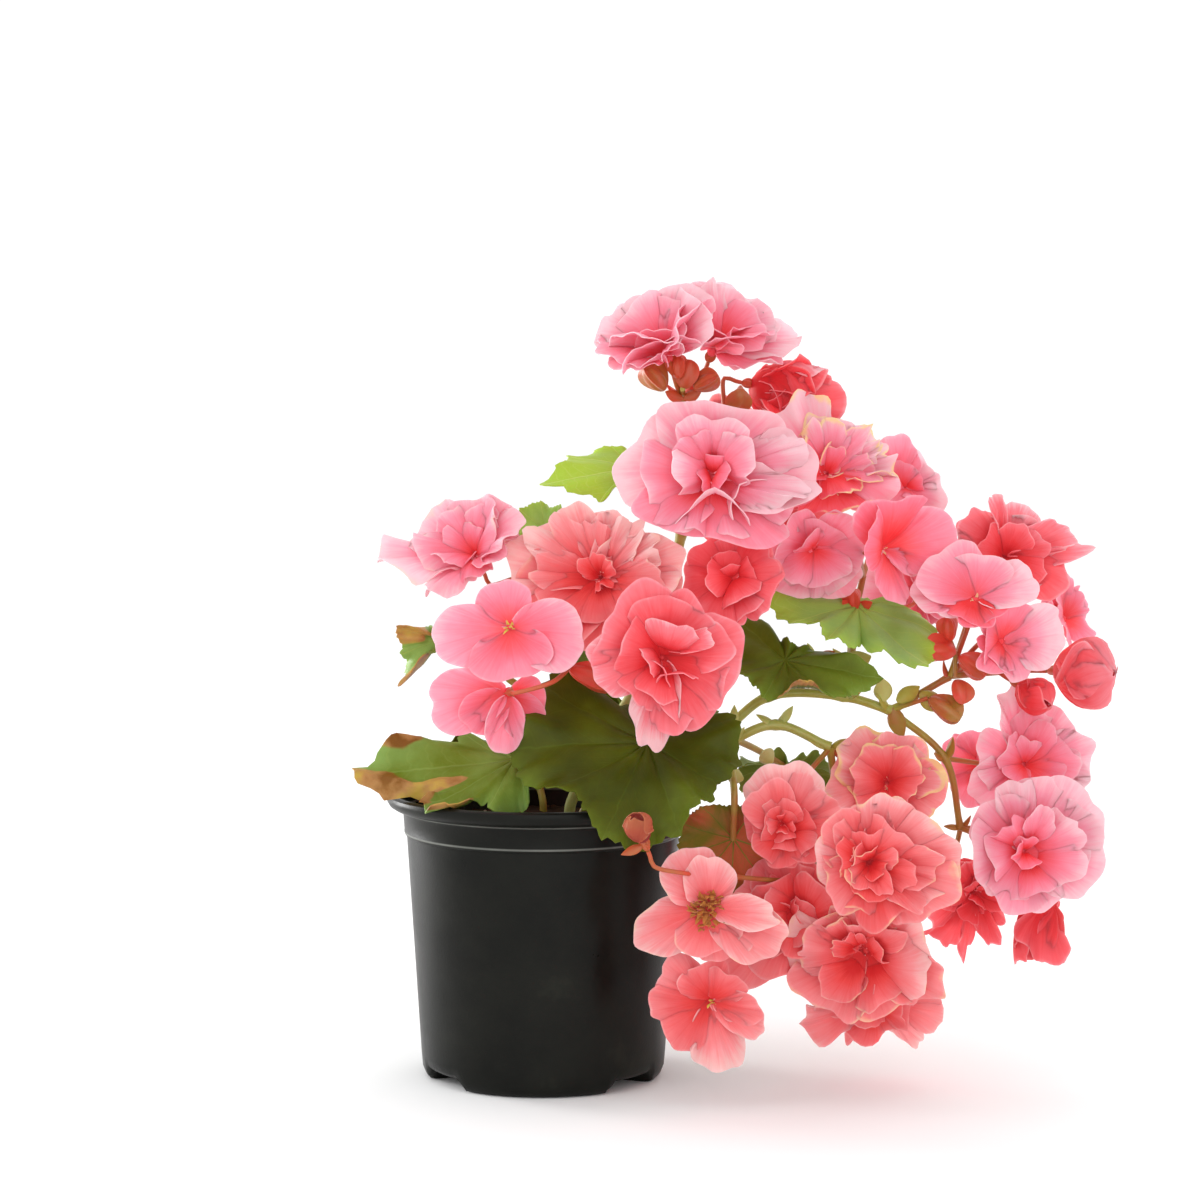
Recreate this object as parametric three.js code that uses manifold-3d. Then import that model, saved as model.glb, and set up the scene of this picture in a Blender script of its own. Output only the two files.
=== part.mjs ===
// A begonia in full bloom, growing in a plain nursery pot. Millimetres, +Z up.
// The origin is the middle of the pot's foot, on the surface that the pot stands on.
// The plant leans out over the pot's right side (+X); -Y is its front.
import * as THREE from 'three';
import { mergeVertices } from 'three/addons/utils/BufferGeometryUtils.js';
import Module from 'manifold-3d';

const wasm = await Module();
wasm.setup();

// ---------- driving dimensions ----------

const POT_HEIGHT = 142.5;
const LIP_RADIUS = 78;
const LIP_HEIGHT = 12;
const BAND_RADIUS = 71.5;
const BAND_HEIGHT = 10;
const BODY_RADIUS = 68.5;
const FOOT_RADIUS = 60;
const FOOT_ROUND = 5;
const WALL = 1.8;
const POT_SEGMENTS = 40;
const FLOOR = 2.4;
const DRAIN_ANGLES = [-73, 47, 167];
const DRAIN_WIDTH = 31;
const DRAIN_HEIGHT = 3.5;
const SOIL_EDGE = 125;
const SOIL_CROWN = 128.5;
const ROOT_DEPTH = 114;
const SEAT_GAP = 0.35;
const ROOT_GAP = 0.6;
const JOINT_SWELL = 1.35;

const UPRIGHT_RADIUS = 3.3;
const PEDUNCLE_RADIUS = 2.1;
const PEDICEL_RADIUS = 1.3;
const PETIOLE_RADIUS = 2;

const PETAL_THICKNESS = 2.2;
const PETAL_WIDEST = 0.6;
const PETAL_NOTCH = 0.35;
const BLOOM_SEGMENTS = 17;
const RECEPTACLE_RADIUS = 3.2;
const RECEPTACLE_DEPTH = 6;
const LEAF_THICKNESS = 1.8;
const LEAF_SEGMENTS = 18;

const DEGREE = Math.PI / 180;

// ---------- colours ----------

const COLOURS = {
  pot: { color: 0x1b1c1a, roughness: 0.45 },
  soil: { color: 0x33261c, roughness: 0.95 },
  stem: { color: 0x8a7a34, roughness: 0.5 },
  leaf: { color: 0x34471a, roughness: 0.4 },
  pale: { color: 0xf5a3b4, roughness: 0.55 },
  coral: { color: 0xe84c62, roughness: 0.5 },
  salmon: { color: 0xee8684, roughness: 0.55 },
  bud: { color: 0xd9604a, roughness: 0.5 },
};

const plant = new THREE.Group();

function addMesh(name, piece, look) {
  const mesh = piece.getMesh();
  const geometry = new THREE.BufferGeometry();
  geometry.setAttribute('position', new THREE.BufferAttribute(mesh.vertProperties, 3));
  geometry.setIndex(new THREE.BufferAttribute(mesh.triVerts, 1));
  geometry.computeVertexNormals();
  const material = new THREE.MeshStandardMaterial({ ...COLOURS[look], metalness: 0 });
  const part = new THREE.Mesh(geometry, material);
  part.name = name;
  plant.add(part);
}

// ---------- from closed geometry to solids ----------

const vector = ([x, y, z]) => new THREE.Vector3(x, y, z);

function solid(geometry) {
  const bare = geometry.clone();
  bare.deleteAttribute('normal');
  bare.deleteAttribute('uv');
  const merged = mergeVertices(bare, 1e-4);
  const corners = merged.index.array;
  const faces = [];
  for (let i = 0; i < corners.length; i += 3) {
    const [a, b, c] = [corners[i], corners[i + 1], corners[i + 2]];
    if (a !== b && b !== c && c !== a) faces.push(a, b, c);
  }
  return new wasm.Manifold(new wasm.Mesh({
    numProp: 3,
    vertProperties: Float32Array.from(merged.attributes.position.array),
    triVerts: Uint32Array.from(faces),
  }));
}

function joined(pieces) {
  return pieces.reduce((whole, piece) => whole.add(piece));
}

function tube(points, radius, sides = 5, steps = 2 * points.length - 2) {
  const section = new THREE.Shape();
  for (let i = 0; i < sides; i += 1) {
    const turn = (i + 0.5) * 2 * Math.PI / sides;
    const corner = [radius * Math.cos(turn), radius * Math.sin(turn)];
    if (i === 0) section.moveTo(...corner);
    else section.lineTo(...corner);
  }
  const extrudePath = new THREE.CatmullRomCurve3(points.map(vector), false, 'centripetal');
  return solid(new THREE.ExtrudeGeometry(section, { steps, extrudePath, bevelEnabled: false }));
}

function ball(centre, radius) {
  const geometry = new THREE.SphereGeometry(radius, 6, 4);
  return solid(geometry.translate(...centre));
}

// A frame whose normal faces azimuth (from the front, towards +X) and elevation, in degrees.
function facingFrame([azimuth, elevation]) {
  const [turn, rise] = [azimuth * DEGREE, elevation * DEGREE];
  const normal = vector([
    Math.sin(turn) * Math.cos(rise),
    -Math.cos(turn) * Math.cos(rise),
    Math.sin(rise),
  ]);
  const right = vector([0, 0, 1]).cross(normal).normalize();
  const up = normal.clone().cross(right);
  return { normal, right, up };
}

// ---------- pot ----------

// A thin moulded pot: a rolled lip over a band, a tapering body, and a foot cut away at
// three drain openings. Its floor is flat and rests on the surface.
function makePot() {
  const lipBottom = POT_HEIGHT - LIP_HEIGHT;
  const bandBottom = lipBottom - BAND_HEIGHT;
  const profile = [
    [0, 0],
    [FOOT_RADIUS - FOOT_ROUND, 0],
    [FOOT_RADIUS - 1.4, 1.6],
    [FOOT_RADIUS + 0.6, FOOT_ROUND],
    [BODY_RADIUS, bandBottom],
    [BODY_RADIUS + 1.6, bandBottom + 1],
    [BAND_RADIUS, lipBottom],
    [LIP_RADIUS - 2, lipBottom],
    [LIP_RADIUS - 1, lipBottom + 1],
    [LIP_RADIUS, POT_HEIGHT - 2],
    [LIP_RADIUS - 1.5, POT_HEIGHT],
    [LIP_RADIUS - 4.5, POT_HEIGHT],
    [BAND_RADIUS - WALL, lipBottom - 1],
    [BODY_RADIUS - WALL, bandBottom],
    [FOOT_RADIUS + 0.6 - WALL, FOOT_ROUND],
    [FOOT_RADIUS - FOOT_ROUND, FLOOR],
    [0, FLOOR],
  ];
  const outline = profile.map(([radius, height]) => new THREE.Vector2(radius, height));
  const geometry = new THREE.LatheGeometry(outline, POT_SEGMENTS).rotateX(Math.PI / 2);
  let pot = solid(geometry);
  for (const angle of DRAIN_ANGLES) {
    const cutter = new THREE.BoxGeometry(DRAIN_WIDTH, 24, 2 * DRAIN_HEIGHT);
    cutter.translate(0, -FOOT_RADIUS - 1, 0);
    cutter.rotateZ(angle * DEGREE);
    pot = pot.subtract(solid(cutter));
  }
  return pot;
}

// Compost fills the pot to a little below the lip, with a hole around everything rooted in it.
function makeSoil(roots) {
  const lipBottom = POT_HEIGHT - LIP_HEIGHT;
  const taper = (BODY_RADIUS - FOOT_RADIUS - 0.6) / (lipBottom - BAND_HEIGHT - FOOT_ROUND);
  const wallRadius = (height) => FOOT_RADIUS + 0.6 - WALL + taper * (height - FOOT_ROUND);
  const profile = [
    [0, FLOOR + SEAT_GAP],
    [FOOT_RADIUS - FOOT_ROUND - 8, FLOOR + SEAT_GAP],
    [FOOT_RADIUS - WALL - 3, FOOT_ROUND + 4],
    [wallRadius(SOIL_EDGE - 8) - 0.8, SOIL_EDGE - 8],
    [wallRadius(SOIL_EDGE - 8) - 0.8, SOIL_EDGE],
    [BODY_RADIUS / 2, SOIL_CROWN - 1],
    [0, SOIL_CROWN],
  ];
  const outline = profile.map(([radius, height]) => new THREE.Vector2(radius, height));
  let soil = solid(new THREE.LatheGeometry(outline, 28).rotateX(Math.PI / 2));
  for (const { at, radius } of roots) {
    const bottom = ROOT_DEPTH - SEAT_GAP;
    const hole = new THREE.CylinderGeometry(radius + ROOT_GAP, radius + ROOT_GAP, 40, 10);
    hole.rotateX(Math.PI / 2).translate(at[0], at[1], bottom + 20);
    soil = soil.subtract(solid(hole));
  }
  return soil;
}

// ---------- blooms ----------

// A closed shell of rings around an axis, listed from the axis in front to the axis behind.
// place gives the point of a ring at a turn, clockwise from the top as seen from the front.
function ringShell(rings, segments, frame, at, place) {
  const last = rings.length - 1;
  const outline = rings.map((ring, i) => new THREE.Vector2(i % last === 0 ? 0 : 1, i));
  const geometry = new THREE.LatheGeometry(outline, segments);
  const { position, uv } = geometry.attributes;
  for (let i = 0; i < position.count; i += 1) {
    const turn = uv.getX(i) * 2 * Math.PI;
    const ring = rings[Math.round(uv.getY(i) * last)];
    position.setXYZ(i, ...place(turn, ring));
  }
  const basis = new THREE.Matrix4().makeBasis(frame.right, frame.up, frame.normal);
  return solid(geometry.applyMatrix4(basis.setPosition(vector(at))));
}

// How far the outline of petals reaches at a turn, and how much it lifts there.
function petalsAt(petals, turn) {
  let reach = 0;
  let weights = 0;
  let lifts = 0;
  for (const [angle, length, width, lift] of petals) {
    const off = Math.abs(Math.atan2(Math.sin(turn - angle * DEGREE), Math.cos(turn - angle * DEGREE)));
    const spread = Math.atan2(width / 2, PETAL_WIDEST * length);
    const share = Math.cos(Math.min(off / spread, 1) * Math.PI / 2);
    reach = Math.max(reach, length * Math.max(Math.sqrt(share), PETAL_NOTCH));
    const weight = Math.exp(-off * off) + 0.001;
    weights += weight;
    lifts += weight * lift;
  }
  return { reach, lift: lifts / weights * DEGREE };
}

// A bloom is one solid: its petals are lobes of a thin cupped disc, with the heart of small
// crowded petals in front and the receptacle behind.
function makeBloom({ at, facing, petals, heart = 0 }) {
  const frame = facingFrame(facing);
  const half = PETAL_THICKNESS / 2;
  const rings = [
    { radius: 0, height: Math.max(0.95 * heart, half) },
    { radius: Math.max(heart, RECEPTACLE_RADIUS), height: 0.45 * heart + half },
    { share: 0.65, height: half },
    { share: 1, height: 0 },
    { share: 0.65, height: -half },
    { radius: RECEPTACLE_RADIUS, height: -half - 0.5 },
    { radius: 0.6 * RECEPTACLE_RADIUS, height: -RECEPTACLE_DEPTH },
    { radius: 0, height: -RECEPTACLE_DEPTH },
  ];
  return ringShell(rings, BLOOM_SEGMENTS, frame, at, (turn, { share = 0, radius, height }) => {
    const { reach, lift } = petalsAt(petals, turn);
    const out = radius ?? share * reach * Math.cos(lift) - height * Math.sin(lift);
    const forward = share * reach * Math.sin(lift) + height * (share > 0 ? Math.cos(lift) : 1);
    return [out * Math.sin(turn), out * Math.cos(turn), forward];
  });
}

// Each petal: [clockwise angle from the top as seen from the front, length, width, lift].
const BLOOMS = {
  bloom_crown_left: {
    at: [57, -15, 362], facing: [-32, 25], heart: 11, look: 'pale',
    petals: [[-90, 34, 34, 15], [-145, 26, 28, 15], [0, 26, 36, 20], [75, 26, 30, 25], [140, 25, 26, 10]],
  },
  bloom_crown_right: {
    at: [96, 15, 368], facing: [30, 50], heart: 8, look: 'pale',
    petals: [[-75, 36, 34, 20], [-10, 30, 38, 30], [85, 36, 34, 10], [150, 30, 34, 10]],
  },
  bloom_crown_closed: {
    at: [106, 10, 340], facing: [80, 5], look: 'coral',
    petals: [[0, 44, 90, 66], [180, 44, 90, 66], [-90, 46, 90, 66], [90, 40, 90, 66]],
  },
  bloom_great: {
    at: [84, -30, 300], facing: [-5, 20], heart: 17, look: 'pale',
    petals: [[-70, 48, 44, 12], [5, 37, 52, 20], [83, 50, 48, 12], [125, 38, 38, 10], [180, 36, 50, 8], [-125, 38, 38, 10]],
  },
  bloom_dry_edged: {
    at: [145, 25, 298], facing: [15, 30], heart: 11, look: 'salmon',
    petals: [[-40, 40, 34, 20], [5, 34, 34, 25], [65, 38, 36, 15], [105, 32, 30, 10], [-90, 24, 28, 10], [180, 18, 28, 10]],
  },
  bloom_pale_back: {
    at: [184, 60, 295], facing: [20, 20], heart: 8, look: 'pale',
    petals: [[0, 26, 34, 15], [95, 22, 30, 10], [-85, 22, 28, 10], [180, 20, 28, 10]],
  },
  bloom_side_single: {
    at: [167, -25, 265], facing: [35, 10], look: 'pale',
    petals: [[-5, 29, 38, 45], [85, 38, 32, 25], [175, 26, 18, 10], [-90, 24, 30, 45]],
  },
  bloom_seen_behind: {
    at: [134, 5, 262], facing: [175, 25], look: 'pale',
    petals: [[0, 20, 30, 20], [90, 27, 34, 20], [-90, 25, 34, 20], [180, 26, 44, 20]],
  },
  bloom_middle_coral: {
    at: [93, -40, 252], facing: [-15, 10], heart: 11, look: 'coral',
    petals: [[-85, 25, 32, 15], [-160, 23, 28, 15], [100, 27, 32, 15], [0, 18, 34, 20]],
  },
  bloom_left_double: {
    at: [32, -25, 248], facing: [-20, 15], heart: 15, look: 'salmon',
    petals: [[-60, 45, 46, 15], [5, 34, 48, 20], [78, 40, 44, 15], [180, 36, 48, 12], [-115, 37, 36, 12], [130, 34, 34, 12]],
  },
  bloom_far_left: {
    at: [-40, 0, 264], facing: [-36, 35], heart: 9, look: 'pale',
    petals: [[-98, 44, 32, 8], [20, 28, 36, 20], [80, 42, 34, 15], [-150, 28, 28, 5], [-45, 28, 28, 20]],
  },
  bloom_four_upper: {
    at: [-14, -50, 228], facing: [-10, 10], look: 'pale',
    petals: [[-15, 23, 26, 20], [-105, 37, 34, 15], [98, 38, 34, 15], [175, 26, 30, 12]],
  },
  bloom_four_lower: {
    at: [-15, -54, 198], facing: [195, -5], look: 'pale',
    petals: [[97, 38, 30, 15], [172, 28, 22, 10], [-150, 24, 22, 12], [-105, 19, 22, 20]],
  },
  bloom_front_double: {
    at: [57, -68, 210], facing: [5, 10], heart: 18, look: 'coral',
    petals: [[-80, 34, 38, 15], [-12, 32, 42, 20], [80, 36, 40, 15], [130, 31, 34, 12], [-172, 36, 17, 5]],
  },
  bloom_pointed: {
    at: [232, 25, 260], facing: [25, 20], heart: 11, look: 'coral',
    petals: [[-10, 27, 14, 30], [55, 30, 22, 20], [85, 41, 24, 15], [-75, 34, 28, 12], [140, 23, 26, 10]],
  },
  bloom_right_single: {
    at: [210, -28, 242], facing: [0, 45], look: 'pale',
    petals: [[-90, 26, 24, 15], [85, 29, 26, 15], [-10, 22, 28, 30], [180, 18, 26, 10]],
  },
  bloom_right_cup: {
    at: [235, -22, 221], facing: [20, 10], look: 'pale',
    petals: [[0, 17, 30, 25], [90, 19, 26, 25], [-90, 19, 26, 25], [180, 17, 28, 25]],
  },
  bloom_right_closed: {
    at: [259, 15, 203], facing: [70, 5], look: 'coral',
    petals: [[0, 30, 56, 54], [180, 30, 56, 54], [-90, 29, 56, 58], [90, 29, 56, 58]],
  },
  bloom_right_back: {
    at: [266, 55, 224], facing: [60, 25], look: 'pale',
    petals: [[0, 20, 26, 30], [110, 20, 26, 20], [-110, 20, 26, 20]],
  },
  bloom_right_upper: {
    at: [245, 0, 163], facing: [15, 10], heart: 8, look: 'pale',
    petals: [[-28, 32, 16, 15], [50, 27, 24, 15], [98, 33, 30, 12], [140, 26, 26, 10], [-108, 37, 28, 15], [-165, 20, 24, 10]],
  },
  bloom_right_double: {
    at: [245, -42, 123], facing: [10, 5], heart: 16, look: 'pale',
    petals: [[-10, 31, 40, 20], [-88, 36, 38, 15], [55, 29, 32, 15], [100, 31, 32, 15], [-140, 27, 28, 10], [175, 30, 24, 10]],
  },
  bloom_hanging: {
    at: [248, -8, 93], facing: [0, -80], look: 'coral',
    petals: [[0, 38, 80, 70], [90, 38, 80, 70], [180, 36, 80, 70], [-90, 38, 80, 70]],
  },
  bloom_right_inner: {
    at: [222, 45, 149], facing: [10, 10], look: 'pale',
    petals: [[0, 17, 24, 20], [100, 18, 24, 15], [-100, 18, 24, 15]],
  },
  bloom_small_rosette: {
    at: [118, -52, 132], facing: [0, 10], heart: 8, look: 'salmon',
    petals: [[-8, 30, 42, 15], [-80, 23, 28, 15], [85, 25, 28, 15], [180, 16, 24, 10]],
  },
  bloom_brown_tip: {
    at: [173, -20, 148], facing: [5, 30], heart: 9, look: 'salmon',
    petals: [[-80, 29, 30, 15], [-20, 25, 30, 25], [45, 23, 28, 20], [95, 27, 28, 15]],
  },
  bloom_peony: {
    at: [165, -80, 121], facing: [-5, 5], heart: 22, look: 'salmon',
    petals: [[-90, 34, 38, 18], [-32, 31, 36, 22], [28, 32, 36, 22], [90, 34, 38, 18], [150, 30, 34, 15], [-150, 30, 34, 15]],
  },
  bloom_low_double: {
    at: [158, -60, 73], facing: [-20, -15], heart: 15, look: 'salmon',
    petals: [[-85, 40, 32, 15], [10, 23, 36, 20], [90, 37, 32, 15], [-175, 25, 38, 12]],
  },
  bloom_lowest: {
    at: [165, -15, 44], facing: [10, -30], heart: 10, look: 'coral',
    petals: [[-105, 40, 30, 15], [-155, 25, 28, 15], [132, 32, 30, 15], [80, 36, 30, 15], [0, 18, 28, 15]],
  },
  bloom_dried_heart: {
    at: [81, -88, 98], facing: [-10, 0], heart: 7, look: 'salmon',
    petals: [[-110, 37, 30, 12], [-25, 31, 34, 18], [107, 34, 34, 15], [175, 21, 28, 12], [45, 22, 26, 15]],
  },
  bloom_low_four: {
    at: [80, -78, 52], facing: [0, 0], look: 'salmon',
    petals: [[-62, 28, 26, 15], [178, 35, 30, 10], [88, 26, 28, 15], [-5, 20, 24, 20], [-115, 20, 22, 10]],
  },
  bloom_low_inner: {
    at: [128, -20, 78], facing: [-20, -10], heart: 8, look: 'coral',
    petals: [[-60, 25, 28, 15], [30, 24, 28, 15], [110, 24, 28, 15], [-150, 24, 28, 15]],
  },
  bloom_low_pointed: {
    at: [215, 8, 93], facing: [30, -20], look: 'coral',
    petals: [[80, 20, 14, 15], [175, 36, 16, 12], [-145, 32, 16, 12], [-15, 24, 22, 20], [130, 26, 14, 10]],
  },
  bud_front: {
    at: [47, -107, 130], facing: [0, 75], look: 'bud',
    petals: [[0, 14, 30, 70], [120, 14, 30, 70], [-120, 14, 30, 70]],
  },
  bud_right: {
    at: [237, -8, 196], facing: [50, -25], look: 'coral',
    petals: [[0, 20, 40, 66], [120, 20, 40, 66], [-120, 20, 40, 66]],
  },
  bloom_back_upper: {
    at: [92, 56, 312], facing: [195, 30], heart: 10, look: 'salmon',
    petals: [[-80, 25, 28, 15], [0, 24, 30, 20], [80, 25, 28, 15], [180, 24, 30, 12]],
  },
  bloom_back_left: {
    at: [22, 62, 246], facing: [205, 20], heart: 12, look: 'pale',
    petals: [[-80, 30, 34, 15], [0, 28, 36, 20], [80, 32, 34, 15], [180, 28, 36, 12]],
  },
  bloom_back_middle: {
    at: [112, 78, 276], facing: [180, 25], heart: 14, look: 'coral',
    petals: [[-75, 34, 36, 15], [0, 30, 38, 20], [75, 34, 36, 15], [140, 28, 32, 12], [-140, 28, 32, 12]],
  },
  bloom_back_right: {
    at: [192, 92, 222], facing: [165, 15], heart: 12, look: 'pale',
    petals: [[-90, 32, 34, 15], [-15, 30, 34, 20], [60, 32, 34, 15], [130, 28, 32, 12], [-150, 28, 32, 12]],
  },
  bloom_back_low: {
    at: [158, 62, 98], facing: [185, -5], heart: 13, look: 'salmon',
    petals: [[-80, 34, 34, 15], [-10, 30, 36, 20], [75, 34, 34, 15], [180, 30, 36, 12]],
  },
};

// ---------- leaves ----------

// A leaf is a thin blade around the place where its stalk joins it, and the stalk below.
// Each outline point: [clockwise angle from the top as seen from the front, reach].
function outlineAt(outline, turn) {
  const angle = ((turn / DEGREE) % 360 + 360) % 360;
  const ring = outline.map(([a, reach]) => [(a + 360) % 360, reach]).sort((p, q) => p[0] - q[0]);
  const next = ring.find(([a]) => a > angle) ?? ring[0];
  const last = ring.findLast(([a]) => a <= angle) ?? ring.at(-1);
  const gap = (next[0] - last[0] + 360) % 360 || 360;
  const share = ((angle - last[0] + 360) % 360) / gap;
  const ease = (1 - Math.cos(share * Math.PI)) / 2;
  return last[1] + (next[1] - last[1]) * ease;
}

function makeLeaf({ at, facing, outline, droop = 0, stalk, stalkRadius = PETIOLE_RADIUS }) {
  const frame = facingFrame(facing);
  const half = LEAF_THICKNESS / 2;
  const rings = [
    { share: 0, height: half },
    { share: 0.5, height: half },
    { share: 1, height: 0 },
    { share: 0.5, height: -half },
    { share: 0, height: -half },
  ];
  const blade = ringShell(rings, LEAF_SEGMENTS, frame, at, (turn, { share, height }) => {
    const out = share * outlineAt(outline, turn);
    return [out * Math.sin(turn), out * Math.cos(turn), height - droop * share * share];
  });
  return blade.add(tube([...stalk, at], stalkRadius));
}

// ---------- stems ----------

// Where a pedicel stops behind its bloom, and the point that it comes through on the way.
function seatBehind(bloom) {
  const { normal } = facingFrame(bloom.facing);
  const behind = (distance) => vector(bloom.at).addScaledVector(normal, -distance).toArray();
  const end = RECEPTACLE_DEPTH + SEAT_GAP;
  return [behind(end + 9), behind(end + 3), behind(end)];
}

// A leaf stalk starts just off the swollen joint of the stem that carries it.
function seatBeside(point, towards, radius) {
  const start = vector(point);
  const way = vector(towards).sub(start).normalize();
  return start.addScaledVector(way, JOINT_SWELL * radius + SEAT_GAP).toArray();
}

// One grown piece: its main runs, each through named points, and a pedicel to every bloom.
function makeStem({ points, runs, joints, pedicels }) {
  const pieces = Object.entries(joints).map(([name, radius]) => ball(points[name], JOINT_SWELL * radius));
  for (const { radius, through } of runs) {
    pieces.push(tube(through.map((name) => points[name]), radius, 6));
    pieces.push(ball(points[through.at(-1)], JOINT_SWELL * radius));
  }
  for (const { from, to, by = [] } of pedicels) {
    pieces.push(tube([points[from], ...by, ...seatBehind(BLOOMS[to])], PEDICEL_RADIUS));
  }
  return joined(pieces);
}

const rooted = ([x, y]) => [[x, y, ROOT_DEPTH], [x, y, SOIL_CROWN - 4], [x, y, SOIL_CROWN + 5]];
const upRoot = rooted([14, 10]);
const leftRoot = rooted([-12, 8]);
const rightRoot = rooted([30, 6]);
const lowRoot = rooted([34, -12]);

const STEMS = {
  stem_upright: {
    root: { at: upRoot[0], radius: UPRIGHT_RADIUS },
    points: {
      root: upRoot[0], collar: upRoot[1], base: upRoot[2],
      low: [30, 12, 165], knee: [50, 10, 200], middle: [62, 10, 238], fork: [70, 12, 272],
      shoulder: [73, 12, 290],
      high: [74, 12, 305], neck: [72, 8, 330], crown: [71, 5, 345],
      front: [62, -16, 222], side: [104, 22, 278],
    },
    runs: [
      { radius: UPRIGHT_RADIUS, through: ['root', 'collar', 'base', 'low', 'knee', 'middle', 'fork', 'shoulder', 'high'] },
      { radius: PEDUNCLE_RADIUS, through: ['high', 'neck', 'crown'] },
      { radius: PEDUNCLE_RADIUS, through: ['knee', 'front'] },
      { radius: PEDUNCLE_RADIUS, through: ['fork', 'side'] },
    ],
    joints: { knee: UPRIGHT_RADIUS, shoulder: UPRIGHT_RADIUS },
    pedicels: [
      { from: 'crown', to: 'bloom_crown_left' },
      { from: 'crown', to: 'bloom_crown_right' },
      { from: 'crown', to: 'bloom_crown_closed', by: [[84, 8, 338]] },
      { from: 'high', to: 'bloom_great' },
      { from: 'high', to: 'bloom_back_upper' },
      { from: 'side', to: 'bloom_dry_edged' },
      { from: 'side', to: 'bloom_back_middle' },
      { from: 'front', to: 'bloom_front_double' },
      { from: 'front', to: 'bloom_middle_coral' },
      { from: 'side', to: 'bloom_seen_behind', by: [[112, 4, 268]] },
    ],
  },
  stem_left: {
    root: { at: leftRoot[0], radius: PEDUNCLE_RADIUS },
    points: {
      root: leftRoot[0], collar: leftRoot[1], base: leftRoot[2],
      low: [-8, 8, 160], bend: [0, 8, 185], fork: [12, 0, 210], nape: [13, 8, 225], top: [14, 20, 240],
    },
    runs: [
      { radius: PEDUNCLE_RADIUS, through: ['root', 'collar', 'base', 'low', 'bend', 'fork', 'nape', 'top'] },
    ],
    joints: { bend: PEDUNCLE_RADIUS, nape: PEDUNCLE_RADIUS },
    pedicels: [
      { from: 'top', to: 'bloom_left_double' },
      { from: 'top', to: 'bloom_far_left', by: [[-8, 22, 248]] },
      { from: 'top', to: 'bloom_back_left' },
      { from: 'fork', to: 'bloom_four_upper' },
      { from: 'fork', to: 'bloom_four_lower', by: [[16, -34, 212], [6, -66, 204]] },
    ],
  },
  stem_right: {
    root: { at: rightRoot[0], radius: UPRIGHT_RADIUS },
    points: {
      root: rightRoot[0], collar: rightRoot[1], base: rightRoot[2],
      low: [56, 4, 156], rise: [90, 0, 173], bow: [113, 0, 190], arch: [150, 0, 190], out: [174, 0, 183],
      cluster: [203, 0, 200], drop: [201, 0, 159], last: [209, 0, 124],
      spur: [154, 10, 206], climb: [156, 22, 222], above: [162, 30, 248],
    },
    runs: [
      { radius: UPRIGHT_RADIUS, through: ['root', 'collar', 'base', 'low', 'rise', 'bow', 'arch', 'out'] },
      { radius: PEDUNCLE_RADIUS, through: ['out', 'cluster'] },
      { radius: PEDUNCLE_RADIUS, through: ['out', 'drop', 'last'] },
      { radius: PEDUNCLE_RADIUS, through: ['arch', 'spur', 'climb', 'above'] },
    ],
    joints: { rise: UPRIGHT_RADIUS, bow: UPRIGHT_RADIUS, spur: PEDUNCLE_RADIUS },
    pedicels: [
      { from: 'above', to: 'bloom_side_single' },
      { from: 'above', to: 'bloom_pale_back' },
      { from: 'climb', to: 'bloom_back_right' },
      { from: 'cluster', to: 'bloom_pointed' },
      { from: 'cluster', to: 'bloom_right_single' },
      { from: 'cluster', to: 'bloom_right_cup' },
      { from: 'cluster', to: 'bloom_right_closed' },
      { from: 'cluster', to: 'bloom_right_back' },
      { from: 'cluster', to: 'bud_right', by: [[220, -4, 203]] },
      { from: 'drop', to: 'bloom_right_upper' },
      { from: 'drop', to: 'bloom_right_inner', by: [[200, 30, 158], [208, 56, 150]] },
      { from: 'last', to: 'bloom_right_double' },
      { from: 'last', to: 'bloom_hanging', by: [[232, 0, 122]] },
      { from: 'last', to: 'bloom_low_pointed' },
    ],
  },
  stem_low: {
    root: { at: lowRoot[0], radius: UPRIGHT_RADIUS },
    points: {
      root: lowRoot[0], collar: lowRoot[1], base: lowRoot[2],
      low: [60, -14, 150], over: [92, -12, 168], brow: [116, -10, 177], turn: [143, -12, 166],
      down: [146, -6, 136], under: [139, 4, 106], end: [140, 6, 75],
    },
    runs: [
      { radius: UPRIGHT_RADIUS, through: ['root', 'collar', 'base', 'low', 'over', 'brow', 'turn'] },
      { radius: PEDUNCLE_RADIUS, through: ['turn', 'down', 'under', 'end'] },
    ],
    joints: { over: UPRIGHT_RADIUS },
    pedicels: [
      { from: 'turn', to: 'bloom_brown_tip' },
      { from: 'turn', to: 'bloom_small_rosette', by: [[128, -24, 150]] },
      { from: 'down', to: 'bloom_peony' },
      { from: 'under', to: 'bloom_back_low' },
      { from: 'under', to: 'bloom_low_double' },
      { from: 'under', to: 'bloom_dried_heart', by: [[108, -26, 96]] },
      { from: 'under', to: 'bud_front', by: [[126, -38, 104], [94, -64, 110], [64, -80, 115]] },
      { from: 'end', to: 'bloom_low_four', by: [[124, 8, 58], [104, -20, 48]] },
      { from: 'end', to: 'bloom_low_inner' },
      { from: 'end', to: 'bloom_lowest' },
    ],
  },
};

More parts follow.
